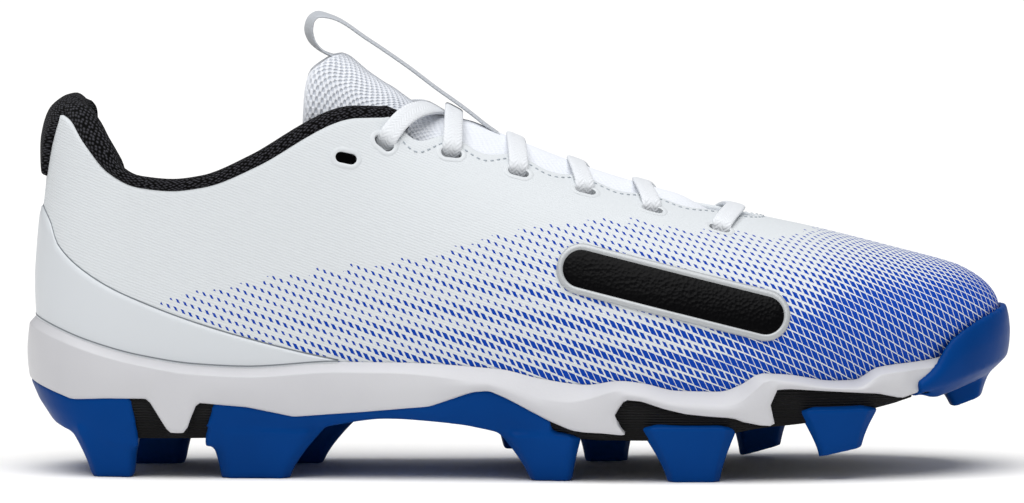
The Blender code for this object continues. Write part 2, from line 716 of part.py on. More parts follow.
# One row for each stud. Insets are from the sole's side; rear and front tips lie at tip_z and tip_z + tip_rise.
Stud = namedtuple("Stud", "name side tip_rear tip_front top_rear top_front tip_inset top_inset width tip_z tip_rise top_z")
HEEL_STUDS = (
    Stud("heel_rear_outer", OUTER, -127.5, -117.2, -135.5, -114.5, 6.5, 1.8, 14, 0, 0, 15.0),
    Stud("heel_rear_inner", INNER, -119.0, -102.0, -126.0, -99.5, 6.5, 1.8, 14, 0, 0, 11.0),
)
ARCH_STUDS = (
    Stud("heel_front_outer", OUTER, -90.0, -71.5, -95.0, -61.0, 5.0, 1.2, 15, 0, 0, 14.5),
    Stud("heel_front_inner", INNER, -76.0, -60.0, -84.0, -46.0, 5.0, 1.2, 15, 0, 0, 17.0),
    Stud("fore_rear_outer", OUTER, 3.0, 15.8, -6.0, 18.6, 6.0, 1.0, 15, 0, 0, 14.0),
    Stud("arch_inner", INNER, -5.0, 4.0, -8.0, 8.0, 9.0, 3.0, 12, 4.3, 0, 14.0),
)
FORE_STUDS = (
    Stud("fore_middle_outer", OUTER, 45.7, 60.0, 37.5, 65.0, 5.5, 0.4, 15, 0, 0, 16.6),
    Stud("fore_front_outer", OUTER, 91.0, 103.0, 85.5, 108.4, 5.5, 0.4, 14, 7.2, 2.6, 21.5),
    Stud("fore_rear_inner", INNER, 20.0, 33.0, 16.0, 36.0, 6.0, 1.2, 15, 0, 0, 14.2),
    Stud("fore_middle_inner", INNER, 67.5, 80.0, 63.5, 84.0, 6.0, 1.2, 15, 0.8, 3.4, 16.6),
    Stud("fore_front_inner", INNER, 98.0, 108.0, 94.0, 113.0, 6.0, 1.2, 13, 11.0, 2.4, 23.0),
)
TOE_STUDS = (Stud("toe", MIDDLE, 130.8, 139.5, 126.5, 143.0, 0.0, 0.0, 20, 18.8, 3.6, 30.5),)


def sole_side(x, side, inset):
    """Plan y of a line that far in from the side of the sole."""
    x = min(x, TOE_TIP_X - 4)
    half = outline_half(x) * (fullness(x, widest(x)))
    if x < HEEL_CENTRE_X:
        back = (HEEL_CENTRE_X - x) / (HEEL_CENTRE_X - heel_back(widest(x)) + SOLE_LEDGE)
        half *= rounded(back, HEEL_POWER)
    return centre(x) + side * (half + ledge(x) - inset)


def stud_ring(stud, level):
    """Level 0 is the tip and 1 the top. Corners are cut so that the stud has eight sides."""
    rear = stud.tip_rear + (stud.top_rear - stud.tip_rear) * level
    front = stud.tip_front + (stud.top_front - stud.tip_front) * level
    inset = stud.tip_inset + (stud.top_inset - stud.tip_inset) * level
    width = stud.width * (0.85 + 0.35 * level)
    corner_x, corner_y = (front - rear) * 0.16, width * 0.2
    ring = []
    for x, depth in (
        (rear + corner_x, 0), (front - corner_x, 0), (front, corner_y), (front, width - corner_y),
        (front - corner_x, width), (rear + corner_x, width), (rear, width - corner_y), (rear, corner_y),
    ):
        along = (x - stud.tip_rear) / (stud.tip_front - stud.tip_rear)
        z = (stud.tip_z + stud.tip_rise * along) * (1 - level) + stud.top_z * level
        y = sole_side(x, stud.side, inset + depth) if stud.side else centre(x) + width / 2 - depth
        ring.append(np.array([x, y, z]))
    return ring


def build_stud(stud, material=None):
    name = f"stud_{stud.name}" if material else f"add_{stud.name}"
    return loft(name, [stud_ring(stud, 0), stud_ring(stud, 1)], material, split=True)


def toe_wrap(pairs):
    """The blue toe piece: it climbs over the midsole's edge and up the front of the upper."""
    rings = []
    for pair in pairs:
        outer, inner = [], []
        for rib in pair:
            x, out = rib.base()[0], ledge(rib.base()[0])
            low, edge, top = plate_bottom(rib.x) - GAP, midsole_edge(x), wrap_edge(x)
            clear, thick = out + GAP + 0.25, WRAP_WALL
            middle = (edge + top) / 2
            outer.append([
                band(rib, top, clear + thick * 0.45), band(rib, middle, clear + thick * 1.05),
                band(rib, edge, clear + thick * 0.7), band(rib, low - FRAME_FLOOR, out - 4.0),
            ])
            inner.append([
                band(rib, top, clear), band(rib, middle, clear),
                band(rib, edge - 0.8, clear), band(rib, plate_bottom(rib.x) + 0.2, out - PLATE_COVERED_INSET),
            ])
        below, above = (outer[0][-1] + outer[1][-1]) / 2, (inner[0][-1] + inner[1][-1]) / 2
        rings.append(outer[0] + [below] + outer[1][::-1] + inner[1] + [above] + inner[0][::-1])
    return loft("toe_cleat", rings, BLUE_PLASTIC, capped=(True, False), split=True)


def build_sole():
    """White midsole on a black plate, with the blue pieces fitted under and round both."""
    loft("midsole", midsole_rings(), WHITE_FOAM, capped=(False, False), split=True)
    midsole_room = loft("cut_midsole_room", midsole_rings(GAP), capped=(False, False), split=True)
    plate_room = loft("cut_plate_room", plate_rings(GAP, 20.0), capped=(False, False), split=True)
    plate = loft("outsole_plate", plate_rings(0.0, 8.0), BLACK_RUBBER, capped=(False, False), split=True)
    boolean(plate, midsole_room, "DIFFERENCE")
    heel = frame("heel_cleat", pairs_between(-200, HEEL_CLEAT_END_X), True, False)
    arch = frame("arch_cleat", pairs_between(*ARCH_FRAME_X), False, False)
    toe = toe_wrap(pairs_between(TOE_WRAP_X, 200))
    blue = [build_stud(stud, BLUE_PLASTIC) for stud in FORE_STUDS]
    for body, studs in ((heel, HEEL_STUDS), (arch, ARCH_STUDS), (toe, TOE_STUDS)):
        for stud in studs:
            boolean(body, build_stud(stud), "UNION")
        blue.append(body)
    for body in blue:
        boolean(body, plate_room, "DIFFERENCE")
        if body is not toe:
            boolean(body, midsole_room, "DIFFERENCE")


def build_insole():
    inset = UPPER_WALL + 2 * GAP
    rings = []
    for pair in PAIRS:
        chains = []
        for rib in pair:
            low = footbed(rib.x) + GAP
            edge = rib.wall(low) - rib.out * inset
            rim = rib.wall(low + INSOLE_THICKNESS) - rib.out * inset
            chains.append([edge, rim])
        over, under = (chains[0][1] + chains[1][1]) / 2, (chains[0][0] + chains[1][0]) / 2
        rings.append(chains[0] + [over] + chains[1][::-1] + [under])
    loft("insole", rings, GREY_FOAM, capped=(False, False))


# Side badge


def build_badge(word, side):
    """A plain rounded bar on the side of the forefoot."""
    steps, across = 12, 3
    slope = math.radians(BADGE_SLOPE_DEG)
    rows, normals = [], []
    for i in range(steps + 1):
        along = -BADGE_LENGTH / 2 * math.cos(math.pi * i / steps)
        past_end = max(0.0, abs(along) - (BADGE_LENGTH - BADGE_WIDTH) / 2)
        half = max(math.sqrt(max((BADGE_WIDTH / 2) ** 2 - past_end ** 2, 0.0)), 1.2)
        row, row_normals = [], []
        for j in range(across + 1):
            up = half * (2 * j / across - 1)
            x = BADGE_X + along * math.cos(slope) - up * math.sin(slope)
            z = BADGE_Z + along * math.sin(slope) + up * math.cos(slope)
            row.append(side_point(x, z, side))
            row_normals.append(side_normal(x, z, side))
        rows.append(row)
        normals.append(row_normals)
    patch(f"side_badge_{word}", rows, normals, GAP, GAP + BADGE_THICKNESS, BLACK_PLASTIC)


def clear_scene():
    for obj in list(bpy.data.objects):
        bpy.data.objects.remove(obj)


clear_scene()
SHOE = bpy.data.objects.new("shoe", None)
bpy.context.scene.collection.objects.link(SHOE)
build_upper()
build_collar()
build_heel_pieces()
build_tongue()
build_pull_loop()
build_laces()
build_sole()
build_insole()
for badge_word, badge_side in (("outer", OUTER), ("inner", INNER)):
    build_badge(badge_word, badge_side)
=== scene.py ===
# %% [markdown]
# # Dressing a moulded football cleat
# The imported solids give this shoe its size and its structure. This lesson gives it its looks: a
# printed textile upper, padded knit, woven laces, foam, rubber and moulded plastic. Each step says
# what the piece is on a real shoe and why it is made the way it is.
#
# Sizes are in millimetres, and become metres when a mesh is made. +X points to the toe, +Z is up,
# and -Y is the outer side of this right shoe. The floor is z = 0.

# %% Load the frame
import json
import math
from collections import namedtuple

import bmesh
import bpy
import numpy as np
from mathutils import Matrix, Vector

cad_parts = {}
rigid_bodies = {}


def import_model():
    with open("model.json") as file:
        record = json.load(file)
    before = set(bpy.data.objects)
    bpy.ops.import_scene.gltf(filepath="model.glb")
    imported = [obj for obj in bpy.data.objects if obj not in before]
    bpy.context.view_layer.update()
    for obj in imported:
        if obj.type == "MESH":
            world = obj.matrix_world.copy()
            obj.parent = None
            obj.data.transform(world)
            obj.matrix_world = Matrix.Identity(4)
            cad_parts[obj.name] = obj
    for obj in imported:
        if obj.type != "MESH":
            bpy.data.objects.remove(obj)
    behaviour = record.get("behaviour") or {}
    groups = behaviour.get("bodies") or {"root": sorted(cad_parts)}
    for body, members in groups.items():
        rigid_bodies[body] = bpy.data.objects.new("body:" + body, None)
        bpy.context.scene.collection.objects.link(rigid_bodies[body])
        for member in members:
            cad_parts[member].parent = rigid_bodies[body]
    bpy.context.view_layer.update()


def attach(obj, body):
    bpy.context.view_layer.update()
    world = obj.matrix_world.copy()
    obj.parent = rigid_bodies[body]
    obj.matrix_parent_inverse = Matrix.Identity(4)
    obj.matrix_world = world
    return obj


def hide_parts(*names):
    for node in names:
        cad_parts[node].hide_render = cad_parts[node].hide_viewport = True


for leftover in list(bpy.data.objects):
    bpy.data.objects.remove(leftover)
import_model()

# %% [markdown]
# ## Camera, floor and light
# The shoe is seen square from its outer side, from a little above. A long lens a few metres away
# keeps the far side from shrinking. The floor is pale and plain. A wide soft sun and a bright world
# make it white, and two soft boxes give the plastic and the laces something to reflect.

# %% Camera
MM = 0.001
SHOT_WIDTH = 310.8
SHOT_TARGET = np.array([-2.4, 0.0, 66.2])
SHOT_DISTANCE = 4000.0
SHOT_ELEVATION_DEG = 4.0
SENSOR_WIDTH = 36.0

camera_data = bpy.data.cameras.new("studio_camera")
camera_data.sensor_width = SENSOR_WIDTH
camera_data.lens = SENSOR_WIDTH * SHOT_DISTANCE / SHOT_WIDTH
camera_data.clip_end = 100.0
camera = bpy.data.objects.new("studio_camera", camera_data)
tilt = math.radians(SHOT_ELEVATION_DEG)
back = np.array([0.0, -math.cos(tilt), math.sin(tilt)])
camera.location = Vector((SHOT_TARGET + back * SHOT_DISTANCE) * MM)
camera.rotation_euler = (math.pi / 2 - tilt, 0.0, 0.0)
bpy.context.scene.collection.objects.link(camera)
bpy.context.scene.camera = camera
bpy.context.scene.view_settings.view_transform = "Standard"
print("lens:", round(camera_data.lens), "mm")

# %% Colour and node helpers


def linear(code):
    """An sRGB hex colour, such as "c0c8d0", as linear red, green, blue and alpha."""
    shares = [int(code[i:i + 2], 16) / 255 for i in (0, 2, 4)]
    return (*(s / 12.92 if s <= 0.04045 else ((s + 0.055) / 1.055) ** 2.4 for s in shares), 1.0)


def add_node(material, kind, inputs=None, into=None, **settings):
    """Adds a node with its settings, and fills its inputs with values or other nodes.

    With into, its first output is linked to that input of the shader.
    """
    tree = material.node_tree
    made = tree.nodes.new(kind)
    for name, value in settings.items():
        setattr(made, name, value)
    for key, value in (inputs or {}).items():
        socket = made.inputs[key] if isinstance(key, int) else next(
            s for s in made.inputs if s.name == key and s.enabled)
        if isinstance(value, bpy.types.Node):
            value = next(s for s in value.outputs if s.enabled)
        if isinstance(value, bpy.types.NodeSocket):
            tree.links.new(value, socket)
        else:
            socket.default_value = value
    if into:
        output = next(s for s in made.outputs if s.enabled)
        tree.links.new(output, tree.nodes["Principled BSDF"].inputs[into])
    return made


def new_material(name, colour, roughness, **sockets):
    """A material whose shader has steady values. A socket's words are joined with underscores."""
    material = bpy.data.materials.new(name)
    material.use_nodes = True
    shader = material.node_tree.nodes["Principled BSDF"]
    shader.inputs["Base Color"].default_value = linear(colour)
    shader.inputs["Roughness"].default_value = roughness
    for socket, value in sockets.items():
        shader.inputs[socket.replace("_", " ")].default_value = value
    return material


print("white in linear light:", linear("ffffff"))

# %% Floor and lights
FLOOR_HALF = 20.0

floor_paint = new_material("matt_floor_paint", "fdfcfa", 0.9, Specular_IOR_Level=0.1)
floor_mesh = bpy.data.meshes.new("floor")
corners = [(-FLOOR_HALF, -FLOOR_HALF, 0), (FLOOR_HALF, -FLOOR_HALF, 0),
           (FLOOR_HALF, FLOOR_HALF, 0), (-FLOOR_HALF, FLOOR_HALF, 0)]
floor_mesh.from_pydata(corners, [], [(0, 1, 2, 3)])
floor_mesh.materials.append(floor_paint)
floor = bpy.data.objects.new("floor", floor_mesh)
bpy.context.scene.collection.objects.link(floor)

# One row for each lamp: kind, place and aim in metres, strength, and size in metres or degrees.
Lamp = namedtuple("Lamp", "name kind place aim strength size")
LAMPS = (
    Lamp("high_sun", "SUN", (-0.3, -0.9, 3.0), (0, 0, 0), 2.85, 60),
    Lamp("front_box", "AREA", (-0.5, -1.5, 0.9), (0, 0, 0.06), 1.8, 1.0),
    Lamp("toe_box", "AREA", (1.3, -0.5, 0.8), (0.05, 0, 0.05), 1.0, 0.7),
)
for lamp in LAMPS:
    light = bpy.data.lights.new(lamp.name, lamp.kind)
    light.energy = lamp.strength
    if lamp.kind == "SUN":
        light.angle = math.radians(lamp.size)
    else:
        light.size = lamp.size
    holder = bpy.data.objects.new(lamp.name, light)
    holder.location = lamp.place
    holder.rotation_euler = (Vector(lamp.aim) - Vector(lamp.place)).to_track_quat("-Z", "Y").to_euler()
    bpy.context.scene.collection.objects.link(holder)

world = bpy.data.worlds.new("white_studio")
world.use_nodes = True
world.node_tree.nodes["Background"].inputs["Color"].default_value = linear("fbfcff")
world.node_tree.nodes["Background"].inputs["Strength"].default_value = 0.30
bpy.context.scene.world = world
print("lamps:", [lamp.name for lamp in LAMPS])

# %% [markdown]
# ## The last
# A shoe is made over a last, a solid model of the foot. Every piece here is built on the same last as
# the solids, so that it lands where they are: a few sections across the shoe, joined by smooth curves.
# The lines along the side say where the sole, the collar and the heel panel end. A subdivided box
# could be pulled into this form by hand, but tables keep each number readable.

# %% Sizes of the last
GAP = 0.3
OUTER, INNER = -1, 1
HEEL_CENTRE_X = -115.0
HEEL_POWER = 2.25
THROAT_END_X = 60.2
THROAT_ROUND = 11.0
BALL_X = 75.0
TOE_TIP_X = 145.6
TOE_POWER = 2.2
RIDGE_TURN_X = 127.0
RIDGE_POWER = 2.5
SECTION_POWER = 2.05
TUCK = 0.09
THROAT_BLEND = 4.0
TINY = 1e-6

Section = namedtuple("Section", "x centre half_width footbed widest ridge plate_top plate_bottom")
SECTIONS = (
    Section(-146, 0.0, 33.5, 28.0, 57.0, 170.0, 21.0, 18.0),
    Section(-115, 0.0, 34.0, 26.5, 55.0, 166.0, 16.0, 12.0),
    Section(-90, -0.3, 35.8, 26.0, 52.0, 160.0, 16.3, 12.3),
    Section(-60, -1.5, 36.0, 25.3, 50.5, 146.0, 21.0, 18.0),
    Section(-40, -2.7, 36.8, 25.0, 49.5, 122.0, 23.0, 20.8),
    Section(-20, -3.7, 38.5, 24.0, 48.0, 108.5, 21.8, 19.5),
    Section(0, -4.0, 41.0, 22.5, 46.0, 99.5, 18.5, 15.8),
    Section(25, -3.1, 46.0, 20.5, 43.0, 90.0, 16.0, 12.6),
    Section(50, -1.0, 50.0, 20.0, 40.5, 82.8, 15.8, 12.6),
    Section(70, 0.5, 50.5, 21.3, 40.0, 77.8, 17.2, 14.4),
    Section(90, 2.0, 49.3, 24.5, 41.5, 73.4, 20.8, 18.0),
    Section(110, 3.2, 48.2, 28.5, 43.5, 68.3, 25.0, 22.2),
    Section(125, 3.7, 47.4, 32.0, 45.5, 64.4, 28.5, 25.8),
    Section(146, 4.0, 46.0, 38.0, 47.5, 59.0, 34.5, 32.0),
)
print("sections:", len(SECTIONS))

# %% Lines along the side
Line = namedtuple("Line", "x z")
HEEL_BACK = (
    Line(-144.5, 26), Line(-146.0, 47), Line(-146.4, 57), Line(-145.5, 72),
    Line(-143.6, 89), Line(-143.0, 100), Line(-142.0, 112),
)
COLLAR_EDGE = (
    Line(-143, 109.5), Line(-137, 107.0), Line(-131.5, 100.4), Line(-124.5, 91.8), Line(-115, 87.0),
    Line(-105, 86.0), Line(-95, 87.2), Line(-79, 93.5), Line(-64, 102.3), Line(-60, 104.5),
    Line(-56, 106.3), Line(-52.5, 107.4), Line(-49, 107.9), Line(-40.8, 108.0),
)
INNER_COLLAR_DIP = (
    Line(-146, 0.0), Line(-142, 1.0), Line(-137, 3.6), Line(-131, 5.2), Line(-125, 5.6), Line(-62, 5.5),
    Line(-45, 0.0),
)
BITE_LINE = (
    Line(-146, 47.3), Line(-130, 41.2), Line(-114, 36.9), Line(-98, 34.5), Line(-82, 33.8), Line(-54, 35.5),
    Line(-38, 35.5), Line(-6, 33.8), Line(6, 31.1), Line(20, 29.4), Line(30, 30.7), Line(37, 30.0),
    Line(47, 27.8), Line(60, 27.5), Line(66, 29.4), Line(72.5, 33.0), Line(80, 32.6), Line(95, 30.4),
    Line(101, 30.4), Line(108, 34.1), Line(125, 35.9), Line(146, 41.0),
)
MIDSOLE_EDGE = (
    Line(-149, 29.4), Line(-143, 27.0), Line(-134, 23.7), Line(-124, 24.3), Line(-112, 24.3),
    Line(-105.5, 14.0), Line(-100.4, 14.0), Line(-97.2, 23.2), Line(-82, 21.9), Line(-68, 19.1),
    Line(-48, 20.6), Line(-27, 22.5),
    Line(-14, 27.0), Line(-9, 27.4), Line(-4, 25.3), Line(9, 18.6), Line(17, 15.3), Line(26.5, 14.4),
    Line(28, 19.5), Line(31.5, 25.2), Line(36.5, 24.8), Line(43, 22.6), Line(49.5, 21.0), Line(56, 20.3),
    Line(64, 19.7), Line(69, 17.3), Line(72.6, 17.4), Line(74.3, 21.0), Line(75.9, 28.0), Line(80, 28.4),
    Line(107, 26.4), Line(114, 24.8), Line(122, 26.8), Line(146, 35.0),
)
COUNTER_EDGE = (
    Line(-146, 80.0), Line(-143, 76.0), Line(-140, 69.5), Line(-130, 61.0), Line(-119, 55.0),
    Line(-95, 45.9), Line(-67, 38.2), Line(-55, 35.6),
)
TOE_WRAP_EDGE = (
    Line(119, 29.5), Line(124, 33.5), Line(128, 40.0), Line(134, 45.0), Line(141, 48.5), Line(146, 50.5),
)
THROAT_HALF = (Line(-45, 22.0), Line(-40, 21.5), Line(0, 14.5), Line(60, THROAT_ROUND))
EYELET_FIRST_X = 60.2
EYELET_PITCH = -20.2
SCALLOP_DEPTH = 3.4
LAST_COLLAR_X = -40.8
print("collar is lowest at", min(row.z for row in COLLAR_EDGE), "mm")

# %% Curves from the tables


def smooth(points):
    """A monotone cubic through (x, value) pairs, as a function of an array, flat beyond its ends."""
    xs, ys = (np.array(column, float) for column in zip(*points))
    steps = np.diff(ys) / np.diff(xs)
    slopes = np.concatenate([[steps[0]], np.zeros(len(xs) - 2), [steps[-1]]])
    for i in range(1, len(xs) - 1):
        if steps[i - 1] * steps[i] > 0:
            slopes[i] = 2 * steps[i - 1] * steps[i] / (steps[i - 1] + steps[i])

    def value(x):
        x = np.clip(x, xs[0], xs[-1])
        i = np.clip(np.searchsorted(xs, x, side="right") - 1, 0, len(xs) - 2)
        span = xs[i + 1] - xs[i]
        t = (x - xs[i]) / span
        start = (1 + 2 * t) * (1 - t) ** 2 * ys[i] + t * (1 - t) ** 2 * span * slopes[i]
        return start + t * t * (3 - 2 * t) * ys[i + 1] + t * t * (t - 1) * span * slopes[i + 1]

    return value


def column(table, name):
    """One column of a table as a smooth curve along the shoe."""
    return smooth([(row.x, getattr(row, name)) for row in table])


centre, half_width, footbed, widest, ridge, plate_top, plate_bottom = (
    column(SECTIONS, name) for name in Section._fields[1:])
heel_back = smooth([(row.z, row.x) for row in HEEL_BACK])
collar_edge, bite_line, counter_edge = smooth(COLLAR_EDGE), smooth(BITE_LINE), smooth(COUNTER_EDGE)
wrap_edge, throat_half, collar_dip = smooth(TOE_WRAP_EDGE), smooth(THROAT_HALF), smooth(INNER_COLLAR_DIP)
CORNER_SOFTNESS = np.linspace(-0.9, 0.9, 9)


def midsole_edge(x):
    """The midsole's lower edge: straight runs, with corners softened by averaging a short stretch."""
    return np.mean([np.interp(x + shift, *zip(*MIDSOLE_EDGE)) for shift in CORNER_SOFTNESS], axis=0)


print("midsole edge at the arch:", round(float(midsole_edge(0.0)), 1), "mm")

# %% Surface of the last


def rounded(share, power):
    """One at share 0, falling to nothing at share 1 as the edge of a rounded square does."""
    return np.maximum(0.0, 1 - np.clip(share, 0.0, 1.0) ** power) ** (1 / power)


def outline_half(x):
    return half_width(x) * rounded((x - BALL_X) / (TOE_TIP_X - BALL_X), TOE_POWER)


def ridge_line(x):
    turned = rounded((x - RIDGE_TURN_X) / (TOE_TIP_X - RIDGE_TURN_X), RIDGE_POWER)
    return widest(x) + (ridge(x) - widest(x)) * turned


def fullness(x, z):
    """Share of the half width that the section at x keeps at height z."""
    wide = widest(x)
    below = 1 - TUCK * ((wide - z) / (wide - footbed(x))) ** 2
    above = rounded((z - wide) / np.maximum(ridge_line(x) - wide, TINY), SECTION_POWER)
    return np.where(z < wide, below, above)


def height_at(x, y):
    half = np.maximum(outline_half(x), TINY)
    share = rounded(np.abs(y - centre(x)) / half, SECTION_POWER)
    return widest(x) + (ridge_line(x) - widest(x)) * share


def points_of(x, y, z):
    return np.stack(np.broadcast_arrays(x, y, z), -1).astype(float)


def side_point(x, z, side):
    return points_of(x, centre(x) + side * outline_half(x) * fullness(x, z), z)


def top_point(x, y):
    return points_of(x, y, height_at(x, y))


def unit(vectors):
    return vectors / np.maximum(np.linalg.norm(vectors, axis=-1, keepdims=True), 1e-12)


def top_normal(x, y, step=0.5):
    along = top_point(x + step, y) - top_point(x - step, y)
    over = top_point(x, y + step) - top_point(x, y - step)
    return unit(np.cross(along, over))


def side_normal(x, z, side, step=0.5):
    along = side_point(x + step, z, side) - side_point(x - step, z, side)
    upward = side_point(x, z + step, side) - side_point(x, z - step, side)
    return unit(np.cross(upward, along) * side)


def behind_heel(z, back_share):
    """Place along the shoe of the heel's wall at a height, by its share of the way round the back."""
    return HEEL_CENTRE_X - (HEEL_CENTRE_X - heel_back(z)) * back_share


def throat_edge(x):
    """Plan half width of the throat, which dips between one eyelet and the next."""
    turns = (x - EYELET_FIRST_X) / EYELET_PITCH
    return throat_half(x) + SCALLOP_DEPTH * (1 - np.cos(2 * np.pi * turns)) / 2


print("instep height at x = 0:", round(float(height_at(0.0, centre(0.0))), 1), "mm")

# %% [markdown]
# ## Ribs round the foot
# The wall of the shoe is drawn as ribs, lines that go up from the sole to the collar or the throat.
# The solids have far fewer of them. Here there are hundreds, so that the outline stays smooth
# in a close view. All ribs are held as arrays, because one sum over an array is much faster than a loop.

# %% Fine ribs
HEEL_RIBS = 30
COLLAR_RIBS = 60
THROAT_RIBS = 81
TOE_RIBS = 64


class Ribs:
    """The whole loop of ribs, from the middle of the heel along the outer side to the toe and back."""

    def __init__(self):
        angle = np.pi / 2 * np.arange(HEEL_RIBS) / HEEL_RIBS
        back_share = np.cos(angle) ** (2 / HEEL_POWER)
        heel_x = behind_heel(SECTIONS[0].widest, back_share)
        collar_x = np.linspace(HEEL_CENTRE_X, LAST_COLLAR_X, COLLAR_RIBS)
        throat_x = np.linspace(LAST_COLLAR_X, THROAT_END_X, THROAT_RIBS)[1:]
        turn = np.pi / 2 * np.arange(1, TOE_RIBS + 1) / TOE_RIBS
        toe_x = THROAT_END_X + (TOE_TIP_X - THROAT_END_X) * np.sin(turn)
        plain = len(collar_x) + len(throat_x)
        x = np.concatenate([heel_x, collar_x, throat_x, toe_x])
        back = np.concatenate([back_share, np.zeros(plain + TOE_RIBS)])
        across = np.concatenate([np.sin(angle) ** (2 / HEEL_POWER), np.ones(plain + TOE_RIBS)])
        turns = np.concatenate([np.zeros(HEEL_RIBS + plain), turn])
        self.half = len(x)
        loop = np.concatenate([np.arange(self.half), np.arange(self.half - 2, 0, -1)])
        self.x, self.back, self.across, self.turn = x[loop], back[loop], across[loop], turns[loop]
        self.side = np.where(np.arange(len(loop)) < self.half, OUTER, INNER)
        self.count = len(loop)
        self.out = np.zeros((self.count, 3))
        self.base = self.wall(widest(self.x))
        along = np.roll(self.base, -1, axis=0) - np.roll(self.base, 1, axis=0)
        self.out = unit(np.stack([along[:, 1], -along[:, 0], np.zeros(self.count)], -1))

    def wall(self, z):
        """Points of the upper's outer face at a height for each rib, up to the widest line at the toe."""
        z = np.broadcast_to(z, self.x.shape)
        x = np.where(self.back > 0, behind_heel(z, self.back), self.x)
        reach = self.side * outline_half(x) * self.across
        side = points_of(x, centre(x) + reach * fullness(x, z), z)
        tucked = (1 - fullness(x, np.minimum(z, widest(x)))) * half_width(x)
        toe = points_of(x, centre(x) + reach, z) - self.out * tucked[:, None]
        return np.where(self.turn[:, None] > 0, toe, side)

    def top_z(self):
        """Height of the collar edge behind the throat, then of the throat's edge, with a short blend."""
        x = np.where(self.back > 0, behind_heel(COLLAR_EDGE[0].z, self.back), self.x)
        throat = height_at(self.x, centre(self.x) + self.side * throat_edge(self.x))
        share = np.clip((self.x - LAST_COLLAR_X) / THROAT_BLEND, 0, 1)
        collar = collar_edge(x) - np.where(self.side == INNER, collar_dip(x), 0)
        return collar * (1 - share) + throat * share

    def band(self, z, out):
        """Points at height z, that far outside the upper's widest outline."""
        points = self.base + self.out * np.broadcast_to(out, self.x.shape)[:, None]
        points[:, 2] = z
        return points


ribs = Ribs()
edge_x = ribs.base[:, 0]
print("ribs in the loop:", ribs.count)

# %% Mesh from points
WELD_DISTANCE = 1e-6
SHARP_DEG = 50


def add_mesh(
        name, points, faces, materials, corner_uv=None, uv_name="mm", face_material=None, welded=True):
    """A smooth-shaded mesh object from points in millimetres, with its faces turned outwards."""
    mesh = bpy.data.meshes.new(name)
    mesh.from_pydata((np.asarray(points) * MM).tolist(), [], [tuple(map(int, face)) for face in faces])
    if corner_uv is not None:
        uv_layer = mesh.uv_layers.new(name=uv_name)
        uv_layer.data.foreach_set("uv", np.asarray(corner_uv, np.float32).ravel())
    for material in materials:
        mesh.materials.append(material)
    if face_material is not None:
        mesh.polygons.foreach_set("material_index", np.asarray(face_material, np.int32))
    work = bmesh.new()
    work.from_mesh(mesh)
    if welded:
        bmesh.ops.remove_doubles(work, verts=work.verts, dist=WELD_DISTANCE)
    bmesh.ops.recalc_face_normals(work, faces=work.faces)
    work.to_mesh(mesh)
    work.free()
    mesh.shade_smooth()
    mesh.set_sharp_from_angle(angle=math.radians(SHARP_DEG))
    piece = bpy.data.objects.new(name, mesh)
    bpy.context.scene.collection.objects.link(piece)
    return piece


print("edges are sharp above", SHARP_DEG, "degrees")

# %% Skin over a grid


def grid_faces(rows, columns, around_rows=False, around_columns=False):
    """Four-sided faces over a grid of points, and the same faces over a grid left open for its UVs."""
    strips, steps = rows - (not around_rows), columns - (not around_columns)
    i, j = (part.ravel() for part in np.meshgrid(np.arange(strips), np.arange(steps), indexing="ij"))
    shifts = ((0, 0), (0, 1), (1, 1), (1, 0))
    faces = np.stack([(i + a) % rows * columns + (j + b) % columns for a, b in shifts], -1)
    open_faces = np.stack([(i + a) * (columns + 1) + j + b for a, b in shifts], -1)
    return faces, open_faces


def lengths(grid, axis):
    """Mean distance along a grid to each of its lines, closing line included."""
    steps = np.linalg.norm(np.roll(grid, -1, axis=axis) - grid, axis=2).mean(axis=1 - axis)
    return np.concatenate([[0.0], np.cumsum(steps)])


def skin(name, grid, materials, around_rows=False, around_columns=False, capped=False, **more):
    """A mesh over a grid of points. Its UVs are distances in millimetres along and across the grid."""
    grid = np.asarray(grid, float)
    rows, columns = grid.shape[:2]
    faces, open_faces = grid_faces(rows, columns, around_rows, around_columns)
    u, v = lengths(grid, 0), lengths(grid, 1)
    flat = np.stack(np.meshgrid(u, v, indexing="ij"), -1).reshape(-1, 2)
    uv = flat[open_faces].reshape(-1, 2)
    faces = faces.tolist()
    if capped:
        for first in (0, (rows - 1) * columns):
            faces.append(list(range(first, first + columns)))
            uv = np.concatenate([uv, np.zeros((columns, 2))])
    return add_mesh(name, grid.reshape(-1, 3), faces, materials, corner_uv=uv, **more)


print("faces on a grid of 3 by 4 points:", len(grid_faces(3, 4)[0]))

# %% Settle, dress and measure


def settle(piece):
    """Applies the modifiers of a piece, and shades it smooth."""
    evaluated = piece.evaluated_get(bpy.context.evaluated_depsgraph_get())
    mesh = bpy.data.meshes.new_from_object(evaluated)
    piece.modifiers.clear()
    piece.data = mesh
    mesh.shade_smooth()
    return piece


def dress(piece, slot, *nodes):
    """The piece rides on the shoe and stands for the named solids, which it hides. The slot is not used."""
    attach(piece, "root")
    if nodes:
        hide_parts(*nodes)
    piece.data.calc_loop_triangles()
    print(piece.name, "has", len(piece.data.loop_triangles), "triangles")
    return piece


def travel(route):
    """Distance travelled along a route to each of its points."""
    return np.concatenate([[0.0], np.cumsum(np.linalg.norm(np.diff(route, axis=0), axis=1))])


def signed_power(values, power):
    """A power of each value that keeps the value's sign."""
    return np.sign(values) * np.abs(values) ** power


print("once round the widest outline:", round(float(travel(ribs.base)[-1])), "mm")

# %% [markdown]
# ## Upper: white textile with a printed halftone
# The real upper is a polyester twill with a thin film fused on it, so it is matt with a faint diagonal
# rib. A halftone of blue parallelograms is printed over its lower half and gets denser toward the toe.
# An image could hold the print, but nodes keep it sharp at any distance: a lattice of two directions is
# laid on the unrolled wall, and each cell is filled to a share that the mesh carries as a second UV.

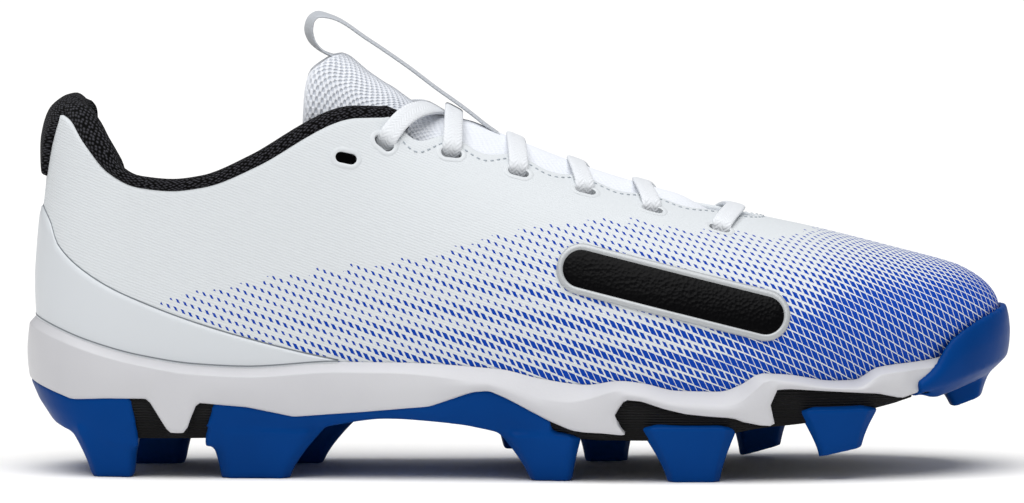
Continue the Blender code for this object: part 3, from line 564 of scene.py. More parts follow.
# %% Lattice of the print
PRINT_STEP = (2.22, -0.85)
PRINT_SIDE = (1.57, -3.20)

# Polyester twill under a thin fused film: matt, with fine slanting ribs that show softly.
twill = new_material("polyester_twill_printed", "d4d8db", 0.65, Specular_IOR_Level=0.08)
place = add_node(twill, "ShaderNodeSeparateXYZ", {0: add_node(twill, "ShaderNodeUVMap", uv_map="print")})
size = add_node(twill, "ShaderNodeSeparateXYZ", {0: add_node(twill, "ShaderNodeUVMap", uv_map="dot_size")})
turned = PRINT_STEP[0] * PRINT_SIDE[1] - PRINT_STEP[1] * PRINT_SIDE[0]
lattice = []
for weight_x, weight_y in ((PRINT_SIDE[1], -PRINT_SIDE[0]), (-PRINT_STEP[1], PRINT_STEP[0])):
    part_x = add_node(
        twill, "ShaderNodeMath", {0: place.outputs["X"], 1: weight_x / turned}, operation="MULTIPLY")
    lattice.append(add_node(
        twill, "ShaderNodeMath", {0: place.outputs["Y"], 1: weight_y / turned, 2: part_x},
        operation="MULTIPLY_ADD"))
print("print cell:", PRINT_STEP, PRINT_SIDE, "mm")

# %% Bands and start of the print
# The dots swell and shrink in bands along the shoe, and each row of dots starts a little early or late.
PRINT_BAND_PERIOD = 8.07
PRINT_BAND_SLOPE = 0.09
PRINT_BAND_START = 33.5
PRINT_RAGGED = 0.09
PRINT_FADE = 0.33

band_place = -PRINT_BAND_START
for direction, side in zip(lattice, (PRINT_STEP, PRINT_SIDE)):
    cell_rise = side[1] + PRINT_BAND_SLOPE * side[0]
    cell_number = add_node(twill, "ShaderNodeMath", {0: direction}, operation="FLOOR")
    cell_middle = add_node(twill, "ShaderNodeMath", {0: cell_number, 1: 0.5}, operation="ADD")
    band_place = add_node(
        twill, "ShaderNodeMath", {0: cell_middle, 1: cell_rise, 2: band_place}, operation="MULTIPLY_ADD")
band_phase = add_node(
    twill, "ShaderNodeMath", {0: band_place, 1: 2 * math.pi / PRINT_BAND_PERIOD}, operation="MULTIPLY")
band_wave = add_node(twill, "ShaderNodeMath", {0: band_phase}, operation="COSINE")
row_number = add_node(twill, "ShaderNodeMath", {0: lattice[1]}, operation="FLOOR")
row_random = add_node(twill, "ShaderNodeTexWhiteNoise", {"W": row_number}, noise_dimensions="1D")
ragged = add_node(
    twill, "ShaderNodeMath", {0: row_random.outputs["Value"], 1: PRINT_RAGGED, 2: -PRINT_RAGGED / 2},
    operation="MULTIPLY_ADD")
started = add_node(twill, "ShaderNodeMath", {0: size.outputs["X"], 1: ragged}, operation="ADD")
inside = add_node(twill, "ShaderNodeMath", {0: started, 1: PRINT_FADE}, operation="GREATER_THAN")
print("print bands:", PRINT_BAND_PERIOD, "mm apart")

# %% Fill of the print's cells
PRINT_FLOOR = 0.33
PRINT_FULLEST = 0.88

banded = add_node(
    twill, "ShaderNodeMath", {0: band_wave, 1: size.outputs["Y"], 2: size.outputs["X"]},
    operation="MULTIPLY_ADD")
filled = add_node(twill, "ShaderNodeMath", {0: banded, 1: PRINT_FLOOR}, operation="MAXIMUM")
parted = add_node(twill, "ShaderNodeMath", {0: filled, 1: PRINT_FULLEST}, operation="MINIMUM")
reach = add_node(twill, "ShaderNodeMath", {0: parted, 1: 0.5}, operation="MULTIPLY")
for direction in lattice:
    wrapped = add_node(twill, "ShaderNodeMath", {0: direction}, operation="FRACT")
    off_middle = add_node(twill, "ShaderNodeMath", {0: wrapped, 1: 0.5}, operation="SUBTRACT")
    distance = add_node(twill, "ShaderNodeMath", {0: off_middle}, operation="ABSOLUTE")
    within = add_node(twill, "ShaderNodeMath", {0: distance, 1: reach}, operation="LESS_THAN")
    inside = add_node(twill, "ShaderNodeMath", {0: inside, 1: within}, operation="MULTIPLY")
add_node(twill, "ShaderNodeMix", {"Factor": inside, "A": linear("d4d8db"), "B": linear("053ca2")},
         into="Base Color", data_type="RGBA")
print("a cell is filled from", PRINT_FLOOR, "to", PRINT_FULLEST, "of its sides")

# %% Relief of the upper
# The twill of the real cloth is about half this pitch. It is drawn coarser so that it shows.
TWILL_PERIOD = 0.9
TWILL_SLOPE = 0.36
CLOTH_GRAIN = 1.11
CLOTH_GRAIN_SHARE = 1.6

twill_turn = add_node(
    twill, "ShaderNodeMath", {0: place.outputs["X"], 1: TWILL_SLOPE, 2: place.outputs["Y"]},
    operation="MULTIPLY_ADD")
twill_phase = add_node(
    twill, "ShaderNodeMath", {0: twill_turn, 1: 2 * math.pi / TWILL_PERIOD}, operation="MULTIPLY")
twill_rib = add_node(twill, "ShaderNodeMath", {0: twill_phase}, operation="SINE")
cloth_noise = add_node(twill, "ShaderNodeTexNoise", {
    "Vector": add_node(twill, "ShaderNodeUVMap", uv_map="print"), "Scale": 1 / CLOTH_GRAIN, "Detail": 3.0})
relief = add_node(
    twill, "ShaderNodeMath", {0: cloth_noise.outputs["Fac"], 1: CLOTH_GRAIN_SHARE, 2: twill_rib},
    operation="MULTIPLY_ADD")
add_node(twill, "ShaderNodeBump", {"Height": relief, "Strength": 0.3, "Distance": 0.00014}, into="Normal")
print("twill period:", TWILL_PERIOD, "mm")

# %% Grid of the upper
UPPER_WALL = 1.8
LOWER_ROWS = 10
RISE_ROWS = 38

wide = widest(ribs.x)
low = footbed(ribs.x) + GAP
rows = [ribs.wall(low + (wide - low) * t) for t in np.linspace(0, 1, LOWER_ROWS)]
end_x = THROAT_END_X + (THROAT_ROUND + 1) * np.sin(ribs.turn)
end_y = centre(end_x) + ribs.side * THROAT_ROUND * np.cos(ribs.turn)
rise = (ribs.top_z() - wide) / np.maximum(ridge_line(ribs.x) - wide, TINY)
steepest = np.arcsin(np.clip(rise, 0, 1) ** (SECTION_POWER / 2))
for t in np.linspace(0, 1, RISE_ROWS + 1)[1:]:
    share = 1 - np.cos(t * np.pi / 2)
    toe_x = ribs.base[:, 0] + (end_x - ribs.base[:, 0]) * share
    toe_y = ribs.base[:, 1] + (end_y - ribs.base[:, 1]) * share
    toe = top_point(toe_x, toe_y)
    side = ribs.wall(wide + (ridge_line(ribs.x) - wide) * np.sin(steepest * t) ** (2 / SECTION_POWER))
    rows.append(np.where(ribs.turn[:, None] > 0, toe, side))
upper_outer = np.stack(rows, axis=1)
upward = np.gradient(upper_outer, axis=1)
forward = np.roll(upper_outer, -1, axis=0) - np.roll(upper_outer, 1, axis=0)
upper_normal = unit(np.cross(forward, upward))
upper_inner = upper_outer - upper_normal * UPPER_WALL
print("upper grid:", upper_outer.shape[:2])

# %% Where the print lies
# start_z is the height where the print begins, growth how far below it the dots are full, and band how
# much the bands change them.
PrintRow = namedtuple("PrintRow", "x start_z growth band")
PRINT_ROWS = (
    PrintRow(-108, 53.0, 95, 0.08), PrintRow(-63, 62.0, 83, 0.10), PrintRow(-38, 65.4, 72, 0.13),
    PrintRow(3, 74.5, 64, 0.17), PrintRow(24.5, 77.3, 62, 0.18), PrintRow(32, 77.0, 60, 0.18),
    PrintRow(46, 74.8, 50, 0.16), PrintRow(60, 73.0, 40, 0.13), PrintRow(68, 72.7, 33, 0.11),
    PrintRow(77, 71.0, 27, 0.08), PrintRow(87, 72.0, 25, 0.05), PrintRow(95, 75.4, 23, 0.03),
    PrintRow(110, 76.4, 21, 0.0), PrintRow(146, 77.0, 20, 0.0),
)
PRINT_LEAST, PRINT_MOST = 0.38, 0.87
PRINT_EASE = 1.2
PRINT_HEEL_X = -108.0
# What a dot loses for each millimetre outside the print, and the size below which bands have no effect
PRINT_EDGE_LOSS, PRINT_GONE = 0.05, 0.2
BAND_BUILD = 18.0
# Toward the toe the print turns with the vamp: its fall for each millimetre along the shoe
PRINT_FALL = ((62, 0.0), (86, 0.11), (113, 0.24), (150, 0.26))
PRINT_SWING, PRINT_PIVOT_Z = 0.6, 50.0
BEHIND_HEEL_X = -160.0
ALONG_STEPS, FALL_STEPS, GIRTH_STEPS = 3000, 1500, 30


def unrolled(points):
    """Distances on the opened-out wall: along the ridge, and up round the section."""
    x, _, z = np.moveaxis(points, -1, 0)
    fine = np.linspace(BEHIND_HEEL_X, TOE_TIP_X, ALONG_STEPS)
    climb = np.where(fine[1:] > RIDGE_TURN_X, np.diff(ridge_line(fine)), 0)
    along = fine[0] + np.concatenate([[0.0], np.cumsum(np.hypot(np.diff(fine), climb))])
    height = np.maximum(ridge_line(x) - widest(x), TINY)
    end = np.arcsin(np.clip((z - widest(x)) / height, 0, 1) ** (SECTION_POWER / 2))
    angles = end[..., None] * np.linspace(0, 1, GIRTH_STEPS)
    run = outline_half(x)[..., None] * np.cos(angles) ** (2 / SECTION_POWER)
    lift = height[..., None] * np.sin(angles) ** (2 / SECTION_POWER)
    girth = np.hypot(np.diff(run, axis=-1), np.diff(lift, axis=-1)).sum(-1)
    return np.stack([np.interp(x, fine, along), np.minimum(z, widest(x)) + girth], -1)


start_z, growth, band_size = (column(PRINT_ROWS, name) for name in PrintRow._fields[1:])
print_place = unrolled(upper_outer)
print_fall = smooth(PRINT_FALL)
fine_x = np.linspace(BEHIND_HEEL_X, TOE_TIP_X, FALL_STEPS)
fallen = np.cumsum(print_fall(fine_x)) * (fine_x[1] - fine_x[0])
wall_x = upper_outer[..., 0]
print_place[..., 0] -= PRINT_SWING * print_fall(wall_x) * (print_place[..., 1] - PRINT_PIVOT_Z)
print_place[..., 1] += np.interp(wall_x, fine_x, fallen)
depth = start_z(wall_x) - upper_outer[..., 2]
eased = np.clip(depth / growth(wall_x), 0, 1) ** PRINT_EASE
outside = np.minimum(depth, 0) - np.maximum(PRINT_HEEL_X - wall_x, 0)
dot_size = PRINT_LEAST + (PRINT_MOST - PRINT_LEAST) * eased + PRINT_EDGE_LOSS * outside
dot_band = np.where(dot_size > PRINT_GONE, band_size(wall_x) * np.clip(depth / BAND_BUILD, 0, 1), 0)
print("largest dot:", round(float(dot_size.max()), 2), "of its cell")

# %% Lining
# The loops of the real lining are finer. They are drawn coarser so that they show.
LINING_LOOP = 1.0

# Polyester lining knit in black: matt, with a fine loop texture.
lining = new_material("knit_lining_black", "1b1b1d", 0.9, Specular_IOR_Level=0.2)
lining_loops = add_node(lining, "ShaderNodeTexVoronoi", {
    "Vector": add_node(lining, "ShaderNodeUVMap", uv_map="print"), "Scale": 1 / LINING_LOOP})
add_node(lining, "ShaderNodeBump", {
    "Height": lining_loops.outputs["Distance"], "Strength": 0.5, "Distance": 0.0003}, into="Normal")
print("lining loop:", LINING_LOOP, "mm")

# %% Mesh of the upper
RIM_ANGLES = (np.pi / 4, np.pi / 2, 3 * np.pi / 4)
INNER_STEP = 3

edge_out, edge_in = upper_outer[:, -1], upper_inner[:, -1]
edge_up = unit(upper_outer[:, -1] - upper_outer[:, -2])
rim_middle, rim_half = (edge_out + edge_in) / 2, (edge_out - edge_in) / 2
rim = [rim_middle + rim_half * math.cos(a) + edge_up * UPPER_WALL / 2 * math.sin(a) for a in RIM_ANGLES]
wall_columns = upper_outer.shape[1]
inner_columns = np.arange(wall_columns - 1, -1, -INNER_STEP)
inner_columns = np.unique(np.concatenate([inner_columns, [0]]))[::-1]
ring = np.concatenate([upper_outer, np.stack(rim, axis=1), upper_inner[:, inner_columns]], axis=1)
rim_columns = [wall_columns - 1] * len(RIM_ANGLES)
ring_columns = np.concatenate([np.arange(wall_columns), rim_columns, inner_columns])
outer_count = wall_columns + len(RIM_ANGLES)
faces, _ = grid_faces(*ring.shape[:2], around_rows=True, around_columns=True)
corner_uv = print_place[:, ring_columns].reshape(-1, 2)[faces].reshape(-1, 2)
lined = (faces % ring.shape[1] >= outer_count).all(axis=1)
upper = add_mesh(
    "upper_shell", ring.reshape(-1, 3), faces, [twill, lining], corner_uv, "print", lined, welded=False)
size_uv = np.stack([dot_size, dot_band], -1)[:, ring_columns]
size_uv[:, wall_columns:] = 0
size_layer = upper.data.uv_layers.new(name="dot_size")
vertex_of_corner = np.empty(len(upper.data.loops), np.int32)
upper.data.loops.foreach_get("vertex_index", vertex_of_corner)
size_layer.data.foreach_set("uv", size_uv.reshape(-1, 2)[vertex_of_corner].astype(np.float32).ravel())
print("upper faces:", len(upper.data.polygons))

# %% [markdown]
# ## Lace slots
# Each lace passes through a slot punched in the upper. Dark patches could stand for the slots, but a lace
# has to dive into a real one. A Boolean with round-ended bars cuts them all at once. The film round a
# punched slot is pressed into a low rim, which is added as a flat tube.

# %% Places of the slots
EYELET_ROWS = 6
EYELET_SETBACK = (
    Line(-61, 4.5), Line(-40.8, 5.0), Line(-20.6, 4.6), Line(-0.4, 7.0), Line(19.8, 8.0),
    Line(40, 10.5), Line(60.2, 14.3),
)
EYELET_LENGTH = 6.9
EYELET_WIDTH = 3.8
LOCK_SLOT_X = -52.3
LOCK_SLOT_Z = 96.7
LOCK_SLOT_ALONG = np.array([1.0, 0.0, -0.2])
eyelet_setback = smooth(EYELET_SETBACK)


def eyelet_place(row, side):
    x = EYELET_FIRST_X + EYELET_PITCH * row
    return float(x), float(centre(x) + side * (throat_half(x) + eyelet_setback(x)))


def slot_outline(grow, steps=10):
    """A round-ended slot as pairs of distances along and across it."""
    straight, radius = (EYELET_LENGTH - EYELET_WIDTH) / 2, EYELET_WIDTH / 2 + grow
    angles = np.pi * (np.arange(steps + 1) / steps - 0.5)
    end = np.stack([straight + radius * np.cos(angles), radius * np.sin(angles)], -1)
    return np.concatenate([end, -end])


def slot_axes(normal, along):
    """Unit directions along and across a slot, both lying in the surface."""
    along = unit(along - normal * np.dot(along, normal))
    return np.stack([along, np.cross(normal, along)])


Slot = namedtuple("Slot", "point normal axes lock_side")
slots = []
for side in (OUTER, INNER):
    for row in range(EYELET_ROWS):
        here, there = eyelet_place(row, side), eyelet_place(row + 1, side)
        point, normal = top_point(*here), top_normal(*here)
        slots.append(Slot(point, normal, slot_axes(normal, top_point(*there) - point), None))
    point = side_point(LOCK_SLOT_X, LOCK_SLOT_Z, side)
    normal = side_normal(LOCK_SLOT_X, LOCK_SLOT_Z, side)
    slots.append(Slot(point, normal, slot_axes(normal, LOCK_SLOT_ALONG), side))
print("slots:", len(slots))

# %% Slots through the upper
BAR_REACH = 6.0
SLOT_SHARP_DEG = 45

bars = []
for slot in slots:
    loop = slot.point + slot_outline(0.0) @ slot.axes
    ends = [loop - slot.normal * BAR_REACH, loop + slot.normal * BAR_REACH]
    bars.append(skin("slot_bar", ends, [], around_columns=True, capped=True))
bpy.context.view_layer.objects.active = bars[0]
with bpy.context.temp_override(active_object=bars[0], selected_editable_objects=bars):
    bpy.ops.object.join()
punch = upper.modifiers.new("slots", "BOOLEAN")
punch.operation = "DIFFERENCE"
punch.solver = "EXACT"
punch.object = bars[0]
settle(upper)
upper.data.set_sharp_from_angle(angle=math.radians(SLOT_SHARP_DEG))
bpy.data.objects.remove(bars[0])
dress(upper, "knit_upper", "upper")

# %% Rims of the slots
RIM_GROW = 0.55
RIM_HALF_WIDTH = 0.75
RIM_HALF_HEIGHT = 0.2
RIM_SIDES = 8
PRESSED_GRAIN = 0.4

# The same film as the upper, pressed: a little smoother than the cloth round it.
pressed_film = new_material("pressed_film_white", "d0d4d7", 0.5, Specular_IOR_Level=0.4)
film_grain = add_node(pressed_film, "ShaderNodeTexNoise", {
    "Vector": add_node(pressed_film, "ShaderNodeTexCoord").outputs["Object"],
    "Scale": 1 / (PRESSED_GRAIN * MM), "Detail": 2.0})
add_node(pressed_film, "ShaderNodeBump", {
    "Height": film_grain.outputs["Fac"], "Strength": 0.2, "Distance": 0.0001}, into="Normal")
rim_points, rim_faces = [], []
rim_line = slot_outline(RIM_GROW)
rim_outward = unit(slot_outline(RIM_GROW + 1) - rim_line)
turns = 2 * np.pi * np.arange(RIM_SIDES) / RIM_SIDES
for slot in slots:
    grid = []
    for (x, y, z), away in zip(rim_line @ slot.axes + slot.point, rim_outward @ slot.axes):
        on_last = top_point(x, y) if slot.lock_side is None else side_point(x, z, slot.lock_side)
        wide_part = np.outer(np.cos(turns), away) * RIM_HALF_WIDTH
        grid.append(on_last + wide_part + np.outer(np.sin(turns), slot.normal) * RIM_HALF_HEIGHT)
    grid = np.array(grid)
    made, _ = grid_faces(*grid.shape[:2], around_rows=True, around_columns=True)
    rim_faces += (made + sum(len(p) for p in rim_points)).tolist()
    rim_points.append(grid.reshape(-1, 3))
slot_rims = add_mesh("slot_rims", np.concatenate(rim_points), rim_faces, [pressed_film])
dress(slot_rims, "knit_upper")

# %% [markdown]
# ## Stitching along the throat
# A row of short stitches follows the scalloped edge of the throat, where the upper meets its backing.
# A dashed line could be painted, but it would be flat. Each stitch is a small rounded bar laid on the
# surface, so it catches light as thread does.

# %% Stitches
STITCH_PITCH = 2.2
STITCH_LENGTH = 1.1
STITCH_RADIUS = 0.26
STITCH_INSET = 2.0
STITCH_START_X = -37.0
STITCH_LIFT = 0.05
STITCH_SIDES = 6
# Places along a stitch as shares of its length, and its thickness there as a share of the full one
STITCH_SPOTS = np.array([-0.5, -0.42, 0.0, 0.42, 0.5])
STITCH_FATNESS = np.array([0.35, 0.85, 1.0, 0.85, 0.35])
STRAIGHT_STEPS, BEND_STEPS = 1200, 300
THREAD_TWIST = 0.25

# Twisted polyester thread: a soft sheen and a little greyer than the cloth.
thread = new_material("polyester_thread_grey", "a0a8b0", 0.6, Sheen_Weight=0.2)
thread_twist = add_node(thread, "ShaderNodeTexNoise", {
    "Vector": add_node(thread, "ShaderNodeTexCoord").outputs["Object"], "Scale": 1 / (THREAD_TWIST * MM)})
add_node(thread, "ShaderNodeBump", {
    "Height": thread_twist.outputs["Fac"], "Strength": 0.4, "Distance": 0.0001}, into="Normal")
turns = 2 * np.pi * np.arange(STITCH_SIDES) / STITCH_SIDES
one_stitch, _ = grid_faces(len(STITCH_SPOTS), STITCH_SIDES, around_columns=True)
stitch_points, stitch_faces = [], []
for side in (OUTER, INNER):
    straight_x = np.linspace(STITCH_START_X, THROAT_END_X, STRAIGHT_STEPS)
    turn = np.linspace(0, np.pi / 2, BEND_STEPS)[1:]
    bend_x = THROAT_END_X + (THROAT_ROUND + 1 + STITCH_INSET) * np.sin(turn)
    seam_x = np.concatenate([straight_x, bend_x])
    seam_half = np.concatenate([
        throat_edge(straight_x) + STITCH_INSET, (THROAT_ROUND + STITCH_INSET) * np.cos(turn)])
    seam = top_point(seam_x, centre(seam_x) + side * seam_half)
    travelled = travel(seam)
    for middle in np.arange(STITCH_PITCH / 2, travelled[-1] - STITCH_PITCH / 2, STITCH_PITCH):
        spots = middle + STITCH_LENGTH * STITCH_SPOTS
        line = np.stack([np.interp(spots, travelled, seam[:, k]) for k in range(3)], -1)
        up = top_normal(line[2, 0], line[2, 1])
        over = unit(np.cross(up, line[-1] - line[0]))
        circle = np.outer(np.cos(turns), over) + np.outer(np.sin(turns), up)
        thickness = (STITCH_RADIUS * STITCH_FATNESS)[:, None, None]
        grid = line[:, None] + up * STITCH_LIFT + circle * thickness
        stitch_faces += (one_stitch + len(stitch_points) * len(STITCH_SPOTS) * STITCH_SIDES).tolist()
        stitch_points.append(grid.reshape(-1, 3))
throat_stitches = add_mesh("throat_stitches", np.concatenate(stitch_points), stitch_faces, [thread])
dress(throat_stitches, "webbing")

# %% [markdown]
# ## Heel panel
# A thin film is fused over the heel, so the back of the shoe is smoother than the cloth and its upper
# edge shows as a fine line. Another colour on the upper would not give that edge its step, so it is a
# curved panel on the ribs, with its upper edge thinned.

# %% Heel panel
COUNTER_THICKNESS = 0.8
COUNTER_END_X = -54.5
COUNTER_ROWS = 14
COUNTER_HIDDEN = 1.0
# The thinned upper edge: its thickness, then the rise and the two lifts of its lip
COUNTER_EDGE_LIFT = 0.55
LIP_RISE, LIP_LIFTS = 0.25, (0.2, -0.5)
HEEL_PEBBLE = 0.556

# Fused polyurethane film: satin, nearly without texture.
heel_film = new_material("polyurethane_film_white", "ced2d6", 0.42, Specular_IOR_Level=0.45)
heel_pebble = add_node(heel_film, "ShaderNodeTexNoise", {
    "Vector": add_node(heel_film, "ShaderNodeTexCoord").outputs["Object"],
    "Scale": 1 / (HEEL_PEBBLE * MM), "Detail": 3.0})
add_node(heel_film, "ShaderNodeBump", {
    "Height": heel_pebble.outputs["Fac"], "Strength": 0.12, "Distance": 0.0001}, into="Normal")


def heel_first(kept):
    """Indices of chosen ribs round the heel, from the inner side to the outer side."""
    chosen = np.flatnonzero(kept)
    return np.concatenate([chosen[chosen >= ribs.half], chosen[chosen < ribs.half]])


counter_ribs = heel_first((ribs.turn == 0) & (ribs.x <= COUNTER_END_X))
counter_low, counter_high = bite_line(ribs.x) - COUNTER_HIDDEN, counter_edge(edge_x)
lifts = [COUNTER_THICKNESS] * (COUNTER_ROWS - 1) + [COUNTER_EDGE_LIFT]
sheets = []
for share, lift in zip(np.linspace(0, 1, COUNTER_ROWS), lifts):
    sheets.append(ribs.wall(counter_low + (counter_high - counter_low) * share) + ribs.out * lift)
for lift in LIP_LIFTS:
    sheets.append(ribs.wall(counter_high + LIP_RISE) + ribs.out * lift)
heel_panel = skin("heel_panel", np.stack(sheets, axis=1)[counter_ribs], [heel_film])
dress(heel_panel, "heel_skin", "heel_counter")

# %% Painted seam shade at the heel
SEAM_SHADE_WIDTH = 0.4
SEAM_SHADE_LIFT = 0.12
SEAM_SHADE_SINK = 0.5
PANEL_SHADE_RISE, FOAM_SHADE_RISE = 0.3, 0.1

# Painted shade along the film's edge and the foam's edge: a thin matt grey strip where these seams lie in
# shadow.
shade_line_paint = new_material("painted_seam_shade_grey", "7f8489", 0.8, Specular_IOR_Level=0.2)
for name, line, lift in (
    ("panel", counter_high + PANEL_SHADE_RISE, SEAM_SHADE_LIFT),
    ("foam", bite_line(ribs.x) + FOAM_SHADE_RISE, COUNTER_THICKNESS + SEAM_SHADE_LIFT),
):
    corners = ((0.0, SEAM_SHADE_SINK), (0.0, 0.0), (SEAM_SHADE_WIDTH, 0.0), (SEAM_SHADE_WIDTH, SEAM_SHADE_SINK))
    # Each strip is grey painted shade, laid just over its seam.
    strip = [ribs.wall(line + rise) + ribs.out * (lift - drop) for rise, drop in corners]
    strip_grid = np.stack(strip, axis=1)[counter_ribs]
    shade_strip = skin(f"seam_shade_line_{name}", strip_grid, [shade_line_paint], around_columns=True, capped=True)
    dress(shade_strip, "heel_skin")

# %% [markdown]
# ## Collar and heel tab
# The collar is a foam roll covered in black knit, fuller at the back of the heel. A pull tab of the same
# knit folds over the top of the heel. A curve with a round bevel could make the roll, but its section
# changes on the way round, so the roll is swept along the collar's edge, and the tab is laid over the
# heel's wall, both from tables. The knit is a bump of small slanted cells, with painted highlights on
# the raised loops and painted shade in the gaps between them.

# %% Black knit
KNIT_CELL = 0.75
KNIT_STRETCH, KNIT_TURN = 0.55, 0.6

# Polyester spacer knit, dyed black: very matt, with painted grey highlights on the raised loops and painted
# shade in the gaps.
knit = new_material("spacer_knit_black", "0b0b0c", 0.85, Specular_IOR_Level=0.07, Sheen_Weight=0.03)
knit_place = add_node(knit, "ShaderNodeMapping", {
    "Vector": add_node(knit, "ShaderNodeUVMap", uv_map="mm"), "Rotation": (0, 0, KNIT_TURN),
    "Scale": (KNIT_STRETCH, 1.0, 1.0)})
knit_cells = add_node(knit, "ShaderNodeTexVoronoi", {
    "Vector": knit_place, "Scale": 1 / KNIT_CELL, "Randomness": 0.5}, voronoi_dimensions="2D")
knit_height = add_node(knit, "ShaderNodeMapRange", {
    "Value": knit_cells.outputs["Distance"],
    "From Min": 0.10, "From Max": 0.45, "To Min": 1.0, "To Max": 0.0})
# Painted light: the cells' raised middles are mixed toward grey, and their gaps toward black.
add_node(knit, "ShaderNodeMix", {"Factor": knit_height, "A": linear("010101"), "B": linear("46464c")},
         into="Base Color", data_type="RGBA")
add_node(knit, "ShaderNodeBump", {
    "Height": knit_height, "Strength": 0.9, "Distance": 0.0005}, into="Normal")
print("knit cell:", KNIT_CELL, "mm")

# %% Sizes of the collar roll
COLLAR_THICK = (Line(-146, 8.0), Line(-115, 7.0), Line(-40, 5.0))
COLLAR_TALL = (
    Line(-146, 4.0), Line(-140, 4.6), Line(-134, 5.8), Line(-128, 5.5), Line(-122.5, 3.8), Line(-112, 3.9),
    Line(-95, 4.0), Line(-70, 4.5), Line(-40, 4.7),
)
COLLAR_SHIFT = (Line(-146, 2.2), Line(-140, 2.0), Line(-132, 0.3), Line(-126, 0.0))
# How far the padding fills down behind the upper's edge at the back of the heel
COLLAR_SINK = (Line(-146, 2.4), Line(-138, 2.4), Line(-132, 1.6), Line(-126, 0.0), Line(-40, 0.0))
collar_thick, collar_tall, collar_shift = smooth(COLLAR_THICK), smooth(COLLAR_TALL), smooth(COLLAR_SHIFT)
collar_sink = smooth(COLLAR_SINK)
print("collar is up to", max(row.z for row in COLLAR_THICK), "mm thick")

# %% Shape of the collar roll
COLLAR_SIDES = 24
COLLAR_OVERLAP = 5.5
COLLAR_NIP = 0.2
COLLAR_ROUND = 0.95
COLLAR_WIDER, COLLAR_TALLER = 1.04, 0.3
# The roll's ends are drawn in over the last few ribs
END_RIBS, END_START = 3.0, 0.6

collar_ribs = heel_first((ribs.turn == 0) & (ribs.x <= LAST_COLLAR_X + COLLAR_OVERLAP))
edge = upper_outer[collar_ribs, -1]
along = unit(np.gradient(edge, axis=0))
inward = -upper_normal[collar_ribs, -1]
upward = np.cross(inward, along)
upward = unit(upward * np.sign(upward[:, 2:]))
inward = unit(inward - along * (inward * along).sum(-1, keepdims=True))
thick, tall = collar_thick(edge[:, 0])[:, None], collar_tall(edge[:, 0])[:, None]
sunk = collar_sink(edge[:, :1])
middle = edge + inward * (thick / 2 - COLLAR_NIP + collar_shift(edge[:, :1]))
middle += upward * (GAP + tall / 2 - sunk / 2)
ends = np.minimum(np.arange(len(edge)), np.arange(len(edge))[::-1])
taper = np.sqrt(np.clip((ends + END_START) / END_RIBS, 0, 1))[:, None, None]
angles = 2 * np.pi * np.arange(COLLAR_SIDES) / COLLAR_SIDES
round_in = signed_power(np.cos(angles), COLLAR_ROUND)[:, None]
round_up = signed_power(np.sin(angles), COLLAR_ROUND)[:, None]
half_in = (inward * thick / 2 * COLLAR_WIDER)[:, None]
half_up = (upward * (tall / 2 + sunk / 2 + COLLAR_TALLER))[:, None]
collar_grid = middle[:, None] + taper * (half_in * round_in + half_up * round_up)
collar = skin("collar_roll_knit", collar_grid, [knit], around_columns=True, capped=True)
dress(collar, "collar_mesh", "collar_roll")

# %% Sizes of the heel tab
# Rows up the tab's outer face and over its fold: height, distance out from the wall, and half its width
# as a share of the heel's half width
TabRow = namedtuple("TabRow", "z out spread")
TAB_ROWS = (
    TabRow(89.6, 0.2, 0.22), TabRow(90.4, 1.6, 0.24), TabRow(95.0, 2.2, 0.33), TabRow(100.0, 2.4, 0.42),
    TabRow(104.5, 2.0, 0.50), TabRow(109.5, 0.6, 0.57), TabRow(112.3, -1.8, 0.60),
    TabRow(113.9, -4.6, 0.60), TabRow(114.4, -7.0, 0.59), TabRow(113.0, -9.0, 0.57),
    TabRow(109.8, -10.4, 0.54), TabRow(106.5, -11.0, 0.52),
)
TAB_ACROSS, TAB_STEPS = 41, 46
# Beyond this share of the half width the side edges turn in, to just past the wall, and at least by the
# last number
TURN_IN_FROM, TURN_IN_PAST, TURN_IN_LEAST = 0.84, 0.4, 1.2
# The inner face: its distance behind the outer one, its limits, its top and how far it is drawn down
TAB_DEPTH = 2.0
TAB_INNER_LIMITS = (-7.0, -0.8)
TAB_INNER_TOP_Z, TAB_INNER_DROP = 109.0, 0.5
# Above the first height the tab follows the collar's fall, and above the second its crest rounds off
FOLLOW_Z, FOLLOW_SPAN = 104.0, 5.5
CREST_Z, CREST_SPAN = 108.0, 5.0
CREST_FALL, CREST_FROM = 1.3, 0.45
print("heel tab stands", max(row.z for row in TAB_ROWS), "mm above the floor")

# %% Shape of the heel tab
tab_step = np.linspace(0, len(TAB_ROWS) - 1, TAB_STEPS)
tab_z, tab_out, tab_spread = (
    smooth(list(enumerate(values)))(tab_step)[None] for values in zip(*TAB_ROWS))
swing = np.linspace(-1, 1, TAB_ACROSS)[:, None]
turned_in = np.clip((np.abs(swing) - TURN_IN_FROM) / (1 - TURN_IN_FROM), 0, 1) ** 3


def heel_wall(share, z):
    """Points of the heel's wall, by the share of its half width, below zero on the outer side."""
    x = behind_heel(z, rounded(np.abs(share), HEEL_POWER))
    return points_of(x, centre(x) + outline_half(x) * fullness(x, z) * share, z)


